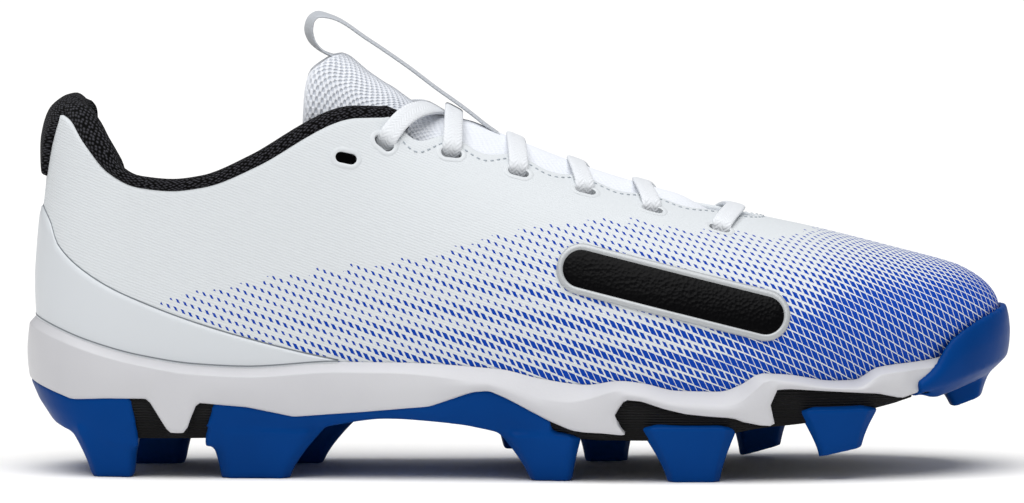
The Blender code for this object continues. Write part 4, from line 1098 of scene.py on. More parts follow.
on_wall = heel_wall(swing * tab_spread, tab_z)
around = np.gradient(on_wall, axis=0)
tab_away = unit(np.stack([-around[..., 1], around[..., 0], np.zeros(around.shape[:2])], -1))
edge_fall = collar_edge(HEEL_BACK[-1].x) - collar_edge(on_wall[..., 0])
edge_fall *= np.clip((tab_z - FOLLOW_Z) / FOLLOW_SPAN, 0, 1)
tab_turn = turned_in * np.maximum(tab_out + TURN_IN_PAST, TURN_IN_LEAST)
tab_outer = on_wall + tab_away * (tab_out - tab_turn)[..., None]
crest_fall = CREST_FALL * np.clip((np.abs(swing) - CREST_FROM) / (1 - CREST_FROM), 0, 1) ** 2
tab_outer[..., 2] -= edge_fall + crest_fall * np.clip((tab_z - CREST_Z) / CREST_SPAN, 0, 1)
tab_inner = on_wall + tab_away * np.clip(tab_out - TAB_DEPTH, *TAB_INNER_LIMITS)[..., None]
tab_inner[..., 2] = np.minimum(tab_z, TAB_INNER_TOP_Z) - TAB_INNER_DROP - edge_fall
tab_grid = np.concatenate([tab_outer, tab_inner[:, ::-1]], axis=1)
heel_tab = skin("heel_tab_knit", tab_grid, [knit], around_columns=True, capped=True)
dress(heel_tab, "collar_mesh", "heel_tab")

# %% [markdown]
# ## Tongue
# The tongue is a padded sheet of white waffle mesh under the laces. Cloth could be simulated for it, but
# it is lofted from short tables, so that its outline is known: a curved sheet whose edges are rounded off
# and which swells up between the laces. The waffle is a bump and a painted shade that darkens its pits.
# Both fade along the middle line and under the laces, where the mesh is stretched smooth.

# %% Waffle mesh
WAFFLE_CELL = 1.35

# Polyester waffle mesh: white and matt. Its pits are darkened with painted shade.
waffle = new_material("waffle_mesh_white", "e4e7ee", 0.8, Specular_IOR_Level=0.25, Sheen_Weight=0.15)
waffle_place = add_node(waffle, "ShaderNodeMapping", {
    "Vector": add_node(waffle, "ShaderNodeUVMap", uv_map="mm"), "Rotation": (0, 0, math.pi / 4),
    "Scale": (1 / WAFFLE_CELL, 1 / WAFFLE_CELL, 1)})
waffle_axis = add_node(waffle, "ShaderNodeSeparateXYZ", {0: waffle_place})
waves = []
for axis in ("X", "Y"):
    phase = add_node(
        waffle, "ShaderNodeMath", {0: waffle_axis.outputs[axis], 1: 2 * math.pi}, operation="MULTIPLY")
    waves.append(add_node(waffle, "ShaderNodeMath", {0: phase}, operation="COSINE"))
waffle_height = add_node(waffle, "ShaderNodeMath", {0: waves[0], 1: waves[1]}, operation="ADD")
waffle_pit = add_node(waffle, "ShaderNodeMapRange", {
    "Value": waffle_height, "From Min": -1.6, "From Max": 0.4, "To Min": 0.0, "To Max": 1.0})
waffle_kept = add_node(waffle, "ShaderNodeAttribute", attribute_name="waffle")
# Painted shade: the deeper a spot of the waffle, the more it is mixed toward grey.
waffle_shade = add_node(waffle, "ShaderNodeMath", {0: 1.0, 1: waffle_pit}, operation="SUBTRACT")
painted_pit_shade = add_node(
    waffle, "ShaderNodeMath", {0: waffle_shade, 1: waffle_kept.outputs["Fac"]}, operation="MULTIPLY")
add_node(waffle, "ShaderNodeMix", {"Factor": painted_pit_shade, "A": linear("e6e9ef"), "B": linear("bcc2cd")},
         into="Base Color", data_type="RGBA")
waffle_raised = add_node(
    waffle, "ShaderNodeMath", {0: waffle_pit, 1: waffle_kept.outputs["Fac"]}, operation="MULTIPLY")
add_node(waffle, "ShaderNodeBump", {
    "Height": waffle_raised, "Strength": 0.8, "Distance": 0.0006}, into="Normal")
print("waffle cell:", WAFFLE_CELL, "mm")

# %% Sizes of the tongue
TONGUE_FRONT_X = 80.0
TONGUE_THICKNESS = 4.0
TONGUE_INSET = (
    Line(-66, 15.0), Line(-54.5, 12.6), Line(-50.5, 10.0), Line(-46.5, 7.8), Line(-42, 5.4),
    Line(-37, 4.2), Line(-30, 4.2), Line(-22, 3.2), Line(-14, 2.6), Line(80, 2.8),
)
TONGUE_SIDE_DEG = (Line(-66, 42), Line(-45, 45), Line(-30, 56), Line(80, 70))
# The tongue's top end, by the distance from its middle line as a share of its half width
TongueEnd = namedtuple("TongueEnd", "share x")
TONGUE_END = (
    TongueEnd(0.0, -54.5), TongueEnd(0.2, -55.8), TongueEnd(0.45, -59.4), TongueEnd(0.667, -64.2),
    TongueEnd(0.8, -65.2), TongueEnd(0.94, -65.6), TongueEnd(1.0, -65.7),
)
# How far the padding swells up between the laces along the middle line
TONGUE_SWELL = (Line(-42, 0.0), Line(-26, 0.6), Line(-12, 3.2), Line(46, 3.4), Line(60, 0.0))
SWELL_SHARE = 0.4
tongue_inset, tongue_side, tongue_end = smooth(TONGUE_INSET), smooth(TONGUE_SIDE_DEG), smooth(TONGUE_END)
print("tongue reaches from x =", TONGUE_END[-1].x, "to", TONGUE_FRONT_X, "mm")

# %% Shape of the tongue
SIDE_ROUND_FROM, TOP_ROUND_FROM = 0.93, 0.975
# The waffle keeps this share on the middle line, gains by the second number toward the sides, and fades
# forward of a place along the shoe to its least share
WAFFLE_MIDDLE, WAFFLE_GAIN = 0.3, 1.6
WAFFLE_FADE_X, WAFFLE_FADE_SPAN, WAFFLE_LEAST = -20.0, 14.0, 0.15
WAFFLE_END, WAFFLE_END_SPAN = 0.996, 0.008
TONGUE_STEPS, TONGUE_ACROSS = 110, 44


def tongue_point(x, angle, depth):
    """A point under the last's surface: angle runs across the foot, 90 degrees at the ridge."""
    inset = tongue_inset(x) + depth
    up = ridge_line(x) - widest(x) - inset
    over = outline_half(x) - inset
    y = centre(x) - over * signed_power(np.cos(angle), 2 / SECTION_POWER)
    return points_of(x, y, widest(x) + up * np.sin(angle) ** (2 / SECTION_POWER))


def edge_round(share, start):
    """Share of the thickness that is left near an edge, which rounds off from start to nothing at 1."""
    return np.sqrt(1 - np.clip((share - start) / (1 - start), 0, 1) ** 2)


step, swing = np.meshgrid(np.linspace(0, 1, TONGUE_STEPS), np.linspace(-1, 1, TONGUE_ACROSS), indexing="ij")
tongue_x = TONGUE_FRONT_X + (tongue_end(np.abs(swing)) - TONGUE_FRONT_X) * step
angle = np.pi / 2 + swing * (np.pi / 2 - np.radians(tongue_side(tongue_x)))
half_thick = TONGUE_THICKNESS / 2 * edge_round(np.abs(swing), SIDE_ROUND_FROM)
half_thick *= edge_round(step, TOP_ROUND_FROM)
swell = smooth(TONGUE_SWELL)(tongue_x) * np.exp(-(swing / SWELL_SHARE) ** 2)
tongue_outer = tongue_point(tongue_x, angle, TONGUE_THICKNESS / 2 - half_thick - swell)
tongue_inner = tongue_point(tongue_x, angle, TONGUE_THICKNESS / 2 + half_thick)
tongue_grid = np.concatenate([tongue_outer, tongue_inner[:, ::-1]], axis=1)
tongue = skin("tongue_waffle", tongue_grid, [waffle], around_columns=True, welded=False)
kept = np.clip(WAFFLE_MIDDLE + WAFFLE_GAIN * np.abs(swing), 0, 1)
kept *= np.clip((WAFFLE_END - step) / WAFFLE_END_SPAN, 0, 1)
kept *= np.clip((WAFFLE_FADE_X - tongue_x) / WAFFLE_FADE_SPAN, WAFFLE_LEAST, 1)
kept = np.concatenate([kept, kept[:, ::-1]], axis=1)
waffle_layer = tongue.data.attributes.new("waffle", "FLOAT", "POINT")
waffle_layer.data.foreach_set("value", kept.astype(np.float32).ravel())
dress(tongue, "tongue_mesh", "tongue")

# %% [markdown]
# ## Laces and pull loop
# Flat woven laces come up through each slot, lie over the edge of the throat and cross to the other side,
# where they go down again. The loop on the tongue is a plain woven tape. Both are ribbons with a rounded
# section, swept along a route on the last. The ribbon's width stays along the slot while it dives into it.

# %% Webbing
BRAID_PITCH = 1.3
BRAID_STRIPE = 1.5

# Woven polyester tape: a fine herringbone, soft and slightly shiny.
webbing = new_material("woven_polyester_white", "e0e3e7", 0.7, Specular_IOR_Level=0.3, Sheen_Weight=0.15)
braid_place = add_node(
    webbing, "ShaderNodeSeparateXYZ", {0: add_node(webbing, "ShaderNodeUVMap", uv_map="mm")})
braid_fold = add_node(
    webbing, "ShaderNodeMath", {0: braid_place.outputs["Y"], 1: BRAID_STRIPE}, operation="PINGPONG")
braid_slant = add_node(
    webbing, "ShaderNodeMath", {0: braid_place.outputs["X"], 1: braid_fold}, operation="ADD")
braid_phase = add_node(
    webbing, "ShaderNodeMath", {0: braid_slant, 1: 2 * math.pi / BRAID_PITCH}, operation="MULTIPLY")
braid = add_node(webbing, "ShaderNodeMath", {0: braid_phase}, operation="SINE")
add_node(webbing, "ShaderNodeBump", {"Height": braid, "Strength": 0.35, "Distance": 0.0002}, into="Normal")
print("braid pitch:", BRAID_PITCH, "mm")

# %% Ribbons
RIBBON_SIDES = 18
# Powers below one make the section flatter than an ellipse
RIBBON_FLAT, RIBBON_CROWN = 0.5, 0.7


def ribbon(name, route, across, width, thickness, material):
    """A flat strip with rounded edges along a route, its width lying along the given directions."""
    along = unit(np.gradient(route, axis=0))
    across = unit(across - along * (across * along).sum(-1, keepdims=True))
    lift = np.cross(along, across)
    turns = 2 * np.pi * np.arange(RIBBON_SIDES) / RIBBON_SIDES
    flat = (signed_power(np.cos(turns), RIBBON_FLAT) * width / 2)[:, None]
    crown = (signed_power(np.sin(turns), RIBBON_CROWN) * thickness / 2)[:, None]
    grid = route[:, None] + across[:, None] * flat + lift[:, None] * crown
    return skin(name, grid, [material], around_columns=True, capped=True)


print("sides of a ribbon's section:", RIBBON_SIDES)

# %% Laces
LACE_WIDTH = 6.0
LACE_THICKNESS = 1.5
LACE_BOWS = (5.0, -3.5, -3.3, -1.5, 0.0, 15.5)
LACE_POINTS = 121
# Points gather near the slots, and a bowed lace is a little more pointed in its middle than a parabola
LACE_GATHER, BOW_POWER = 0.85, 1.6
# The lace next to the ankle is pulled down into the padding
LAST_LACE_SINK = 3.0
# How far the lace lies above the last's surface, by its distance from the middle of its slot
Dive = namedtuple("Dive", "away lift")
LACE_DIVE = (
    Dive(0.0, -4.0), Dive(0.9, -3.0), Dive(1.4, -1.5), Dive(2.0, 0.2), Dive(3.2, 1.0), Dive(5.0, 1.2),
    Dive(9.0, 1.35),
)
lace_dive = smooth(LACE_DIVE)

for row, bow in enumerate(LACE_BOWS):
    start, end = (np.array(eyelet_place(row, side)) for side in (OUTER, INNER))
    share = np.linspace(0, 1, LACE_POINTS)
    share = share - np.sin(2 * np.pi * share) / (2 * np.pi) * LACE_GATHER
    plan = start + (end - start) * share[:, None]
    plan[:, 0] += bow * (1 - np.abs(2 * share - 1) ** BOW_POWER)
    surface = top_point(plan[:, 0], plan[:, 1])
    normals = top_normal(plan[:, 0], plan[:, 1])
    travelled = travel(surface)
    away = np.minimum(travelled, travelled[-1] - travelled)
    route = surface + normals * lace_dive(away)[:, None]
    if row == EYELET_ROWS - 1:
        route[:, 2] -= LAST_LACE_SINK * np.sin(np.pi * share) ** 2
    across = np.cross(normals, np.gradient(surface, axis=0))
    lace = ribbon(f"lace_{row + 1}", route, across, LACE_WIDTH, LACE_THICKNESS, webbing)
    dress(lace, "webbing", f"lace_bar_{row + 1}")
    print("shown length of this lace:", round(float(travelled[-1]), 1), "mm")

# %% Pull loop
LOOP_ROUTE = (
    Line(-55.6, 125.6), Line(-58.8, 126.7), Line(-61.2, 128.3), Line(-63.2, 130.8), Line(-64.0, 133.8),
    Line(-63.4, 136.6), Line(-61.0, 138.4), Line(-57.0, 137.6), Line(-46.0, 130.8), Line(-34.0, 122.6),
    Line(-25.0, 115.8), Line(-18.5, 111.2), Line(-14.0, 107.8), Line(-10.5, 105.0), Line(-6.0, 101.8),
)
LOOP_WIDTH = 9.0
LOOP_THICKNESS = 1.0
LOOP_TWIST_DEG, TWIST_REACH = 16.0, 7.0
LOOP_POINTS = 120
LOOP_LINE_X = -40.0

corners = np.array(LOOP_ROUTE)
travelled = travel(corners)
spots = np.linspace(0, travelled[-1], LOOP_POINTS)
loop_x, loop_z = (smooth(list(zip(travelled, corners[:, k])))(spots) for k in (0, 1))
route = points_of(loop_x, float(centre(LOOP_LINE_X)), loop_z)
bend = np.argmin(loop_x)
twist = np.radians(LOOP_TWIST_DEG) * np.exp(-((spots - spots[bend]) / TWIST_REACH) ** 2)[:, None]
sideways = np.array([0.0, 1.0, 0.0])
facing = np.cross(unit(np.gradient(route, axis=0)), sideways)
across = sideways * np.cos(twist) + facing * np.sin(twist)
# The same weave, made greyer all over: painted shade for the loop's shaded strands.
tape = webbing.copy()
tape.name = "woven_tape_painted_shade_grey"
tape.node_tree.nodes["Principled BSDF"].inputs["Base Color"].default_value = linear("b9bdc3")
pull_loop = ribbon("pull_loop_tape", route, across, LOOP_WIDTH, LOOP_THICKNESS, tape)
dress(pull_loop, "webbing", "tongue_pull_loop")
print("length of the loop's tape:", round(float(spots[-1]), 1), "mm")

# %% [markdown]
# ## Midsole
# The white midsole is moulded foam. A soft chamfer runs under the line where the upper sinks into it, and
# its lower edge has prongs that reach down between the blue pieces. A section is drawn for each pair of
# ribs and the sections are joined, so the edge can follow the table closely.

# %% Sections across the sole
SOLE_LEDGE = 2.4
TOE_LEDGE = 0.9
TOE_WRAP_X = 119.0
SOLE_BAND = 6.0
FAR_X = 200.0
RIB_MARGIN = 0.1
RING_SHARES = (0.25, 0.5, 0.75)
# A point of a section: the line that it is measured from, its height above it, and how far it reaches
# outside the side of the sole
BandRow = namedtuple("BandRow", "line rise reach")


def ledge(x):
    """How far the sole stands outside the upper: less at the toe, where the wrap covers it."""
    return np.interp(x, [TOE_WRAP_X - 5, TOE_WRAP_X], [SOLE_LEDGE, TOE_LEDGE])


def sections(chain, first, last):
    """Closed rings across the sole, one for each pair of ribs. A chain goes up the outside and inward."""
    chosen = [i for i in range(ribs.half) if first - RIB_MARGIN <= ribs.x[i] <= last + RIB_MARGIN]
    rings = []
    for i in chosen:
        outer, inner = chain[i], chain[-i % ribs.count]
        inside = [outer[-1] + (inner[-1] - outer[-1]) * t for t in RING_SHARES]
        below = [inner[0] + (outer[0] - inner[0]) * t for t in RING_SHARES]
        rings.append(np.concatenate([outer, inside, inner[::-1], below]))
    return np.array(rings)


def bands(rows, side):
    """The points of all ribs for each row, measured from the given side of the sole."""
    return [ribs.band(row.line + row.rise, side + row.reach) for row in rows]


out = ledge(edge_x)
print("sole stands out by", SOLE_LEDGE, "mm")

# %% Midsole sizes and foam
CHAMFER_DEPTH = (
    Line(-149, 2.6), Line(-40, 3.0), Line(-14, 4.4), Line(4, 6.0), Line(13.7, 5.6), Line(22.8, 3.7),
    Line(29.2, 2.9), Line(34.4, 2.9), Line(52.4, 4.3), Line(64.7, 4.8), Line(70.5, 4.0), Line(74.4, 1.8),
    Line(108, 2.0), Line(146, 2.6),
)
CHAMFER_SHARE = 0.55
CHAMFER_STEPS = (0.07, 0.22, 0.4, 0.6, 0.8, 1.0)
CHAMFER_SWELL = 0.1
MIDSOLE_BULGE = 0.7
MIDSOLE_STEPS = (0.08, 0.16, 0.25, 0.35, 0.45, 0.55, 0.65, 0.75, 0.85, 0.93, 0.97, 1.0)
BITE_TUCK, BITE_PINCH = 0.8, 0.1
FOAM_PEBBLE, FOAM_TONE = 0.714, 25.0

# Moulded EVA foam: a smooth satin skin with a fine pebble, warmer than the upper.
foam = new_material("moulded_foam_white", "c2c2c6", 0.4, Specular_IOR_Level=0.4)
foam_place = add_node(foam, "ShaderNodeTexCoord").outputs["Object"]
foam_pebble = add_node(foam, "ShaderNodeTexNoise", {
    "Vector": foam_place, "Scale": 1 / (FOAM_PEBBLE * MM), "Detail": 3.0})
foam_tone = add_node(foam, "ShaderNodeTexNoise", {
    "Vector": foam_place, "Scale": 1 / (FOAM_TONE * MM), "Detail": 2.0})
add_node(foam, "ShaderNodeMix", {
    "Factor": foam_tone.outputs["Fac"], "A": linear("bcbcc0"), "B": linear("c8c8cb")},
    into="Base Color", data_type="RGBA")
add_node(foam, "ShaderNodeBump", {
    "Height": foam_pebble.outputs["Fac"], "Strength": 0.16, "Distance": 0.00015}, into="Normal")
print("foam pebble:", FOAM_PEBBLE, "mm")

# %% Wall of the midsole

edge_z, bite_z = midsole_edge(edge_x), bite_line(ribs.x)
chamfer = np.minimum(smooth(CHAMFER_DEPTH)(edge_x), CHAMFER_SHARE * (bite_z - edge_z))
bulge = MIDSOLE_BULGE * out / SOLE_LEDGE
foam_lip = (
    BandRow(plate_top(ribs.x), 0.0, -SOLE_BAND), BandRow(edge_z, 0.1, -1.4),
    BandRow(edge_z, 0.0, -0.5), BandRow(edge_z, 0.35, -0.05),
)
chain = bands(foam_lip, out)
for share in MIDSOLE_STEPS:
    z = edge_z + (bite_z - chamfer - edge_z) * share
    chain.append(ribs.band(z, out + bulge * np.sin(np.pi * share)))
corner, wall_top = chain[-1], ribs.wall(bite_z) + ribs.out * GAP
for t in CHAMFER_STEPS:
    lean = corner + (wall_top - corner) * t
    chain.append(lean + ribs.out * (CHAMFER_SWELL * np.sin(np.pi * t) * out / SOLE_LEDGE)[:, None])
chain.append(ribs.wall(bite_z - BITE_TUCK) + ribs.out * (GAP - BITE_PINCH))
chain.append(ribs.wall(footbed(ribs.x)) + ribs.out * GAP)
chain = np.stack(chain, axis=1)
print("points up a section of the midsole:", chain.shape[1])

# %% Prongs of the midsole
# The prongs' tips lean toward the toe: place, height where the lean begins, lean for each millimetre down,
# and reach. The lean is even over the middle of the reach, and fades out beyond it.
Hook = namedtuple("Hook", "x z lean reach")
HOOKS = (Hook(23.5, 19.4, 1.2, 9.0), Hook(72.5, 21.2, 1.1, 7.0))
HOOK_EVEN = 1.6
for hook in HOOKS:
    x, y, z = np.moveaxis(chain, -1, 0)
    near = np.clip(HOOK_EVEN * (1 - np.abs(x - hook.x) / hook.reach), 0, 1)
    lean = hook.lean * np.maximum(hook.z - z, 0) * near * near * (3 - 2 * near)
    wider = np.sign(y) * (outline_half(x + lean) - outline_half(x)) + centre(x + lean) - centre(x)
    chain = points_of(x + lean, y + wider, z)
midsole = skin("midsole_foam", sections(chain, -FAR_X, FAR_X), [foam], around_columns=True)
dress(midsole, "midsole_foam", "midsole")

# %% [markdown]
# ## Black plate
# A black rubber plate lies under the foam and shows at the side where no blue piece covers it. Its face
# has fine moulded lines. It is lofted like the midsole, with its top hidden inside the foam.

# %% Plate
PLATE_SHOWN_INSET = 0.6
PLATE_COVERED_INSET = 3.2
PLATE_SLOPE = 3.4
PLATE_OVERLAP = 3.0
HEEL_CLEAT_END_X = -115.0
ARCH_FRAME_X = (-95.0, 10.0)
PLATE_LINE_PITCH = 0.8
# The plate is thinner under the ball: how much, where, and over what reach
PLATE_RAISED, PLATE_RAISED_X, PLATE_RAISED_REACH = 1.6, 72.0, 12.0
PLATE_COVER = 2.0
HEEL_SLOPE = 4.0
RUBBER_GRAIN, RUBBER_GRAIN_SHARE = 1.11, 2.0

# Moulded rubber, black: semi-matt, with fine level lines from the mould.
rubber = new_material("moulded_rubber_black", "070607", 0.5, Specular_IOR_Level=0.16)
rubber_at = add_node(rubber, "ShaderNodeTexCoord").outputs["Object"]
rubber_place = add_node(rubber, "ShaderNodeSeparateXYZ", {0: rubber_at})
rubber_phase = add_node(rubber, "ShaderNodeMath", {
    0: rubber_place.outputs["Z"], 1: 2 * math.pi / (PLATE_LINE_PITCH * MM)}, operation="MULTIPLY")
rubber_line = add_node(rubber, "ShaderNodeMath", {0: rubber_phase}, operation="SINE")
rubber_grain = add_node(rubber, "ShaderNodeTexNoise", {
    "Vector": rubber_at, "Scale": 1 / (RUBBER_GRAIN * MM), "Detail": 3.0})
rubber_relief = add_node(
    rubber, "ShaderNodeMath", {0: rubber_grain.outputs["Fac"], 1: RUBBER_GRAIN_SHARE, 2: rubber_line},
    operation="MULTIPLY_ADD")
add_node(rubber, "ShaderNodeBump", {
    "Height": rubber_relief, "Strength": 0.7, "Distance": 0.0004}, into="Normal")


def heel_slope(back_share):
    """Extra slope of the sole's side at the back of the heel."""
    return HEEL_SLOPE * back_share ** 4


covered = (edge_x <= HEEL_CLEAT_END_X - PLATE_OVERLAP) | (edge_x >= TOE_WRAP_X) | (
    (edge_x >= ARCH_FRAME_X[0] + PLATE_OVERLAP) & (edge_x <= ARCH_FRAME_X[1] - PLATE_OVERLAP))
inset = np.where(covered, PLATE_COVERED_INSET + heel_slope(ribs.back) / 2, PLATE_SHOWN_INSET)
raised = PLATE_RAISED * np.exp(-((ribs.x - PLATE_RAISED_X) / PLATE_RAISED_REACH) ** 2)
plate_low = plate_bottom(ribs.x) + raised
plate_rim = np.maximum(edge_z, plate_low + 1)
plate_face = (
    BandRow(plate_low, 0.0, -PLATE_SLOPE - 0.8), BandRow(plate_low, 0.4, -PLATE_SLOPE),
    BandRow(plate_rim, -0.8, -0.25), BandRow(plate_rim, 0.0, 0.0), BandRow(plate_rim, PLATE_COVER, -1.2),
)
chain = bands(plate_face, out - inset)
chain += bands([BandRow(plate_top(ribs.x), PLATE_COVER, -SOLE_BAND - PLATE_COVER)], out)
plate_rings = sections(np.stack(chain, axis=1), -FAR_X, FAR_X)
plate = skin("plate_rubber", plate_rings, [rubber], around_columns=True)
dress(plate, "outsole_rubber", "outsole_plate")

# %% [markdown]
# ## Blue frames and studs
# The blue parts are moulded plastic with a satin skin: a tray round the heel, one under the arch, a bumper
# that wraps the toe, and single studs. Moulded plastic has no sharp edge, so each part is built from
# simple lofts that overlap, and a voxel remesh joins them and rounds them off, which is hard to do with a
# bevel.

# %% Blue plastic
PLASTIC_TONE, PLASTIC_PEEL = 33.3, 2.86

# Injection-moulded thermoplastic polyurethane: satin, with a faint orange-peel in its skin.
plastic = new_material("moulded_plastic_blue", "01367a", 0.36, Specular_IOR_Level=0.04)
plastic_place = add_node(plastic, "ShaderNodeTexCoord").outputs["Object"]
plastic_tone = add_node(plastic, "ShaderNodeTexNoise", {
    "Vector": plastic_place, "Scale": 1 / (PLASTIC_TONE * MM), "Detail": 2.0})
add_node(plastic, "ShaderNodeMix", {
    "Factor": plastic_tone.outputs["Fac"], "A": linear("01306c"), "B": linear("024088")},
    into="Base Color", data_type="RGBA")
plastic_peel = add_node(plastic, "ShaderNodeTexNoise", {
    "Vector": plastic_place, "Scale": 1 / (PLASTIC_PEEL * MM), "Detail": 2.0})
add_node(plastic, "ShaderNodeBump", {
    "Height": plastic_peel.outputs["Fac"], "Strength": 0.08, "Distance": 0.0003}, into="Normal")
add_node(plastic, "ShaderNodeMapRange", {
    "Value": plastic_peel.outputs["Fac"], "To Min": 0.32, "To Max": 0.44}, into="Roughness")
print("orange-peel of the plastic:", PLASTIC_PEEL, "mm")

# %% Sizes of the studs
Stud = namedtuple(
    "Stud",
    "name side tip_rear tip_front top_rear top_front tip_inset top_inset width tip_z tip_rise top_z")
MIDDLE = 0
HEEL_STUDS = (
    Stud("heel_rear_outer", OUTER, -129.3, -116.2, -136.0, -114.5, 6.5, 1.8, 14, 0, 0, 15.0),
    Stud("heel_rear_inner", INNER, -119.0, -102.0, -126.0, -99.5, 6.5, 1.8, 14, 0, 0, 11.0),
)
ARCH_STUDS = (
    Stud("heel_front_outer", OUTER, -90.0, -69.3, -94.0, -59.5, 5.0, 1.2, 15, 0, 0, 14.5),
    Stud("heel_front_inner", INNER, -76.0, -60.0, -84.0, -46.0, 5.0, 1.2, 15, 0, 0, 17.0),
    Stud("fore_rear_outer", OUTER, 3.0, 15.8, -6.0, 18.6, 6.0, 1.0, 15, 0, 0, 14.0),
    Stud("arch_inner", INNER, -5.0, 4.0, -8.0, 8.0, 9.0, 3.0, 12, 4.3, 0, 14.0),
)
FORE_STUDS = (
    Stud("fore_middle_outer", OUTER, 44.3, 60.0, 35.4, 65.4, 5.5, 0.4, 15, 0, 0, 16.6),
    Stud("fore_front_outer", OUTER, 90.0, 102.8, 83.4, 107.6, 5.5, 0.4, 14, 7.2, 2.6, 21.5),
    Stud("fore_rear_inner", INNER, 20.0, 33.0, 16.0, 36.0, 6.0, 1.2, 15, 0, 0, 14.2),
    Stud("fore_middle_inner", INNER, 67.5, 80.0, 63.5, 84.0, 6.0, 1.2, 15, 0.8, 3.4, 16.6),
    Stud("fore_front_inner", INNER, 98.0, 108.0, 94.0, 113.0, 6.0, 1.2, 13, 11.0, 2.4, 23.0),
)
TOE_STUDS = (Stud("toe", MIDDLE, 130.8, 140.2, 123.5, 143.0, 0.0, 0.0, 20, 18.8, 3.6, 30.5),)
print("studs:", sum(len(group) for group in (HEEL_STUDS, ARCH_STUDS, FORE_STUDS, TOE_STUDS)))

# %% Shape of a stud
STUD_LEVELS = np.linspace(0, 1, 8)
STUD_FLARE = 1.35
# Width at the tip and what the top has more, as shares of the stud's width; corners as shares of its sides
TIP_WIDTH, TOP_WIDENING = 0.85, 0.35
CUT_ALONG, CUT_ACROSS = 0.12, 0.2
ROOT_SHARE, ROOT_RISE = 0.75, np.array([0, 0, 1.5])
SIDE_END_X = TOE_TIP_X - 4


def sole_side(x, side, inset):
    """Plan y of a line that far in from the side of the sole."""
    x = np.minimum(x, SIDE_END_X)
    half = outline_half(x)
    back_share = (HEEL_CENTRE_X - x) / (HEEL_CENTRE_X - heel_back(widest(x)) + SOLE_LEDGE)
    half = np.where(x < HEEL_CENTRE_X, half * rounded(back_share, HEEL_POWER), half)
    return centre(x) + side * (half + ledge(x) - inset)


def stud_ring(stud, level):
    """Level 0 is the tip and 1 the top. Corners are cut so that the stud has eight sides."""
    flare = level ** STUD_FLARE
    rear = stud.tip_rear + (stud.top_rear - stud.tip_rear) * flare
    front = stud.tip_front + (stud.top_front - stud.tip_front) * flare
    inset = stud.tip_inset + (stud.top_inset - stud.tip_inset) * level
    width = stud.width * (TIP_WIDTH + TOP_WIDENING * level)
    cut_x, cut_y = (front - rear) * CUT_ALONG, width * CUT_ACROSS
    x = np.array([rear + cut_x, front - cut_x, front, front, front - cut_x, rear + cut_x, rear, rear])
    depth = np.array([0, 0, cut_y, width - cut_y, width, width, width - cut_y, cut_y])
    along = (x - stud.tip_rear) / (stud.tip_front - stud.tip_rear)
    z = (stud.tip_z + stud.tip_rise * along) * (1 - level) + stud.top_z * level
    y = sole_side(x, stud.side, inset + depth) if stud.side else centre(x) + width / 2 - depth
    return points_of(x, y, z)


def stud_mesh(stud):
    """A stud carried on a little past its top, so that it ends inside the plate."""
    rings = [stud_ring(stud, level) for level in STUD_LEVELS]
    middle = rings[-1].mean(axis=0)
    rings.append(middle + (rings[-1] - middle) * ROOT_SHARE + ROOT_RISE)
    return skin(f"stud_{stud.name}", rings, [plastic], around_columns=True, capped=True)


print("sides of a stud:", len(stud_ring(TOE_STUDS[0], 0.0)))

# %% Trays
FRAME_WALL = 2.5
FRAME_FLOOR = 2.2
TRAY_SLOPE, TRAY_SWELL = 3.0, 0.42
TRAY_FLOOR_RISE, TRAY_COVER = 1.5, 1.5

tray_low = plate_low - GAP - FRAME_FLOOR
tray_slope = TRAY_SLOPE + heel_slope(ribs.back)
tray_floor = plate_low + TRAY_FLOOR_RISE
tray_share = (edge_z - tray_floor) / np.maximum(edge_z - tray_low, TINY)
tray_rows = (
    BandRow(tray_low, 0.0, -tray_slope - 1.0), BandRow(tray_low, 0.4, -tray_slope),
    BandRow((tray_low + edge_z) / 2, 0.0, -tray_slope * TRAY_SWELL), BandRow(edge_z, -0.25, -0.25),
    BandRow(edge_z, TRAY_COVER, -1.2), BandRow(edge_z, TRAY_COVER, -FRAME_WALL - 0.6),
    BandRow(tray_floor, 0.0, -FRAME_WALL - tray_slope * tray_share),
)
tray_chain = np.stack(bands(tray_rows, out), axis=1)
# The trays' ends lean: place, lean for each millimetre above the lean's start, and reach
Lean = namedtuple("Lean", "x per_mm reach")
LEAN_START_Z = 15.0
for end in (Lean(HEEL_CLEAT_END_X, -0.22, 6.0), Lean(ARCH_FRAME_X[0], 0.33, 6.0)):
    near = np.clip(1 - np.abs(tray_chain[..., 0] - end.x) / end.reach, 0, 1)
    tray_chain[..., 0] += end.per_mm * np.maximum(tray_chain[..., 2] - LEAN_START_Z, 0) * near
print("lowest edge of the trays:", round(float(tray_low.min()), 1), "mm above the floor")

# %% Toe wrap
WRAP_WALL = 2.0
WRAP_LAP = 0.8
# The wrap's lower edge climbs to the foam's edge at its rear corners
FLANGE_RISE, FLANGE_FULL_X, FLANGE_SPAN = 4.0, 127.0, 8.0

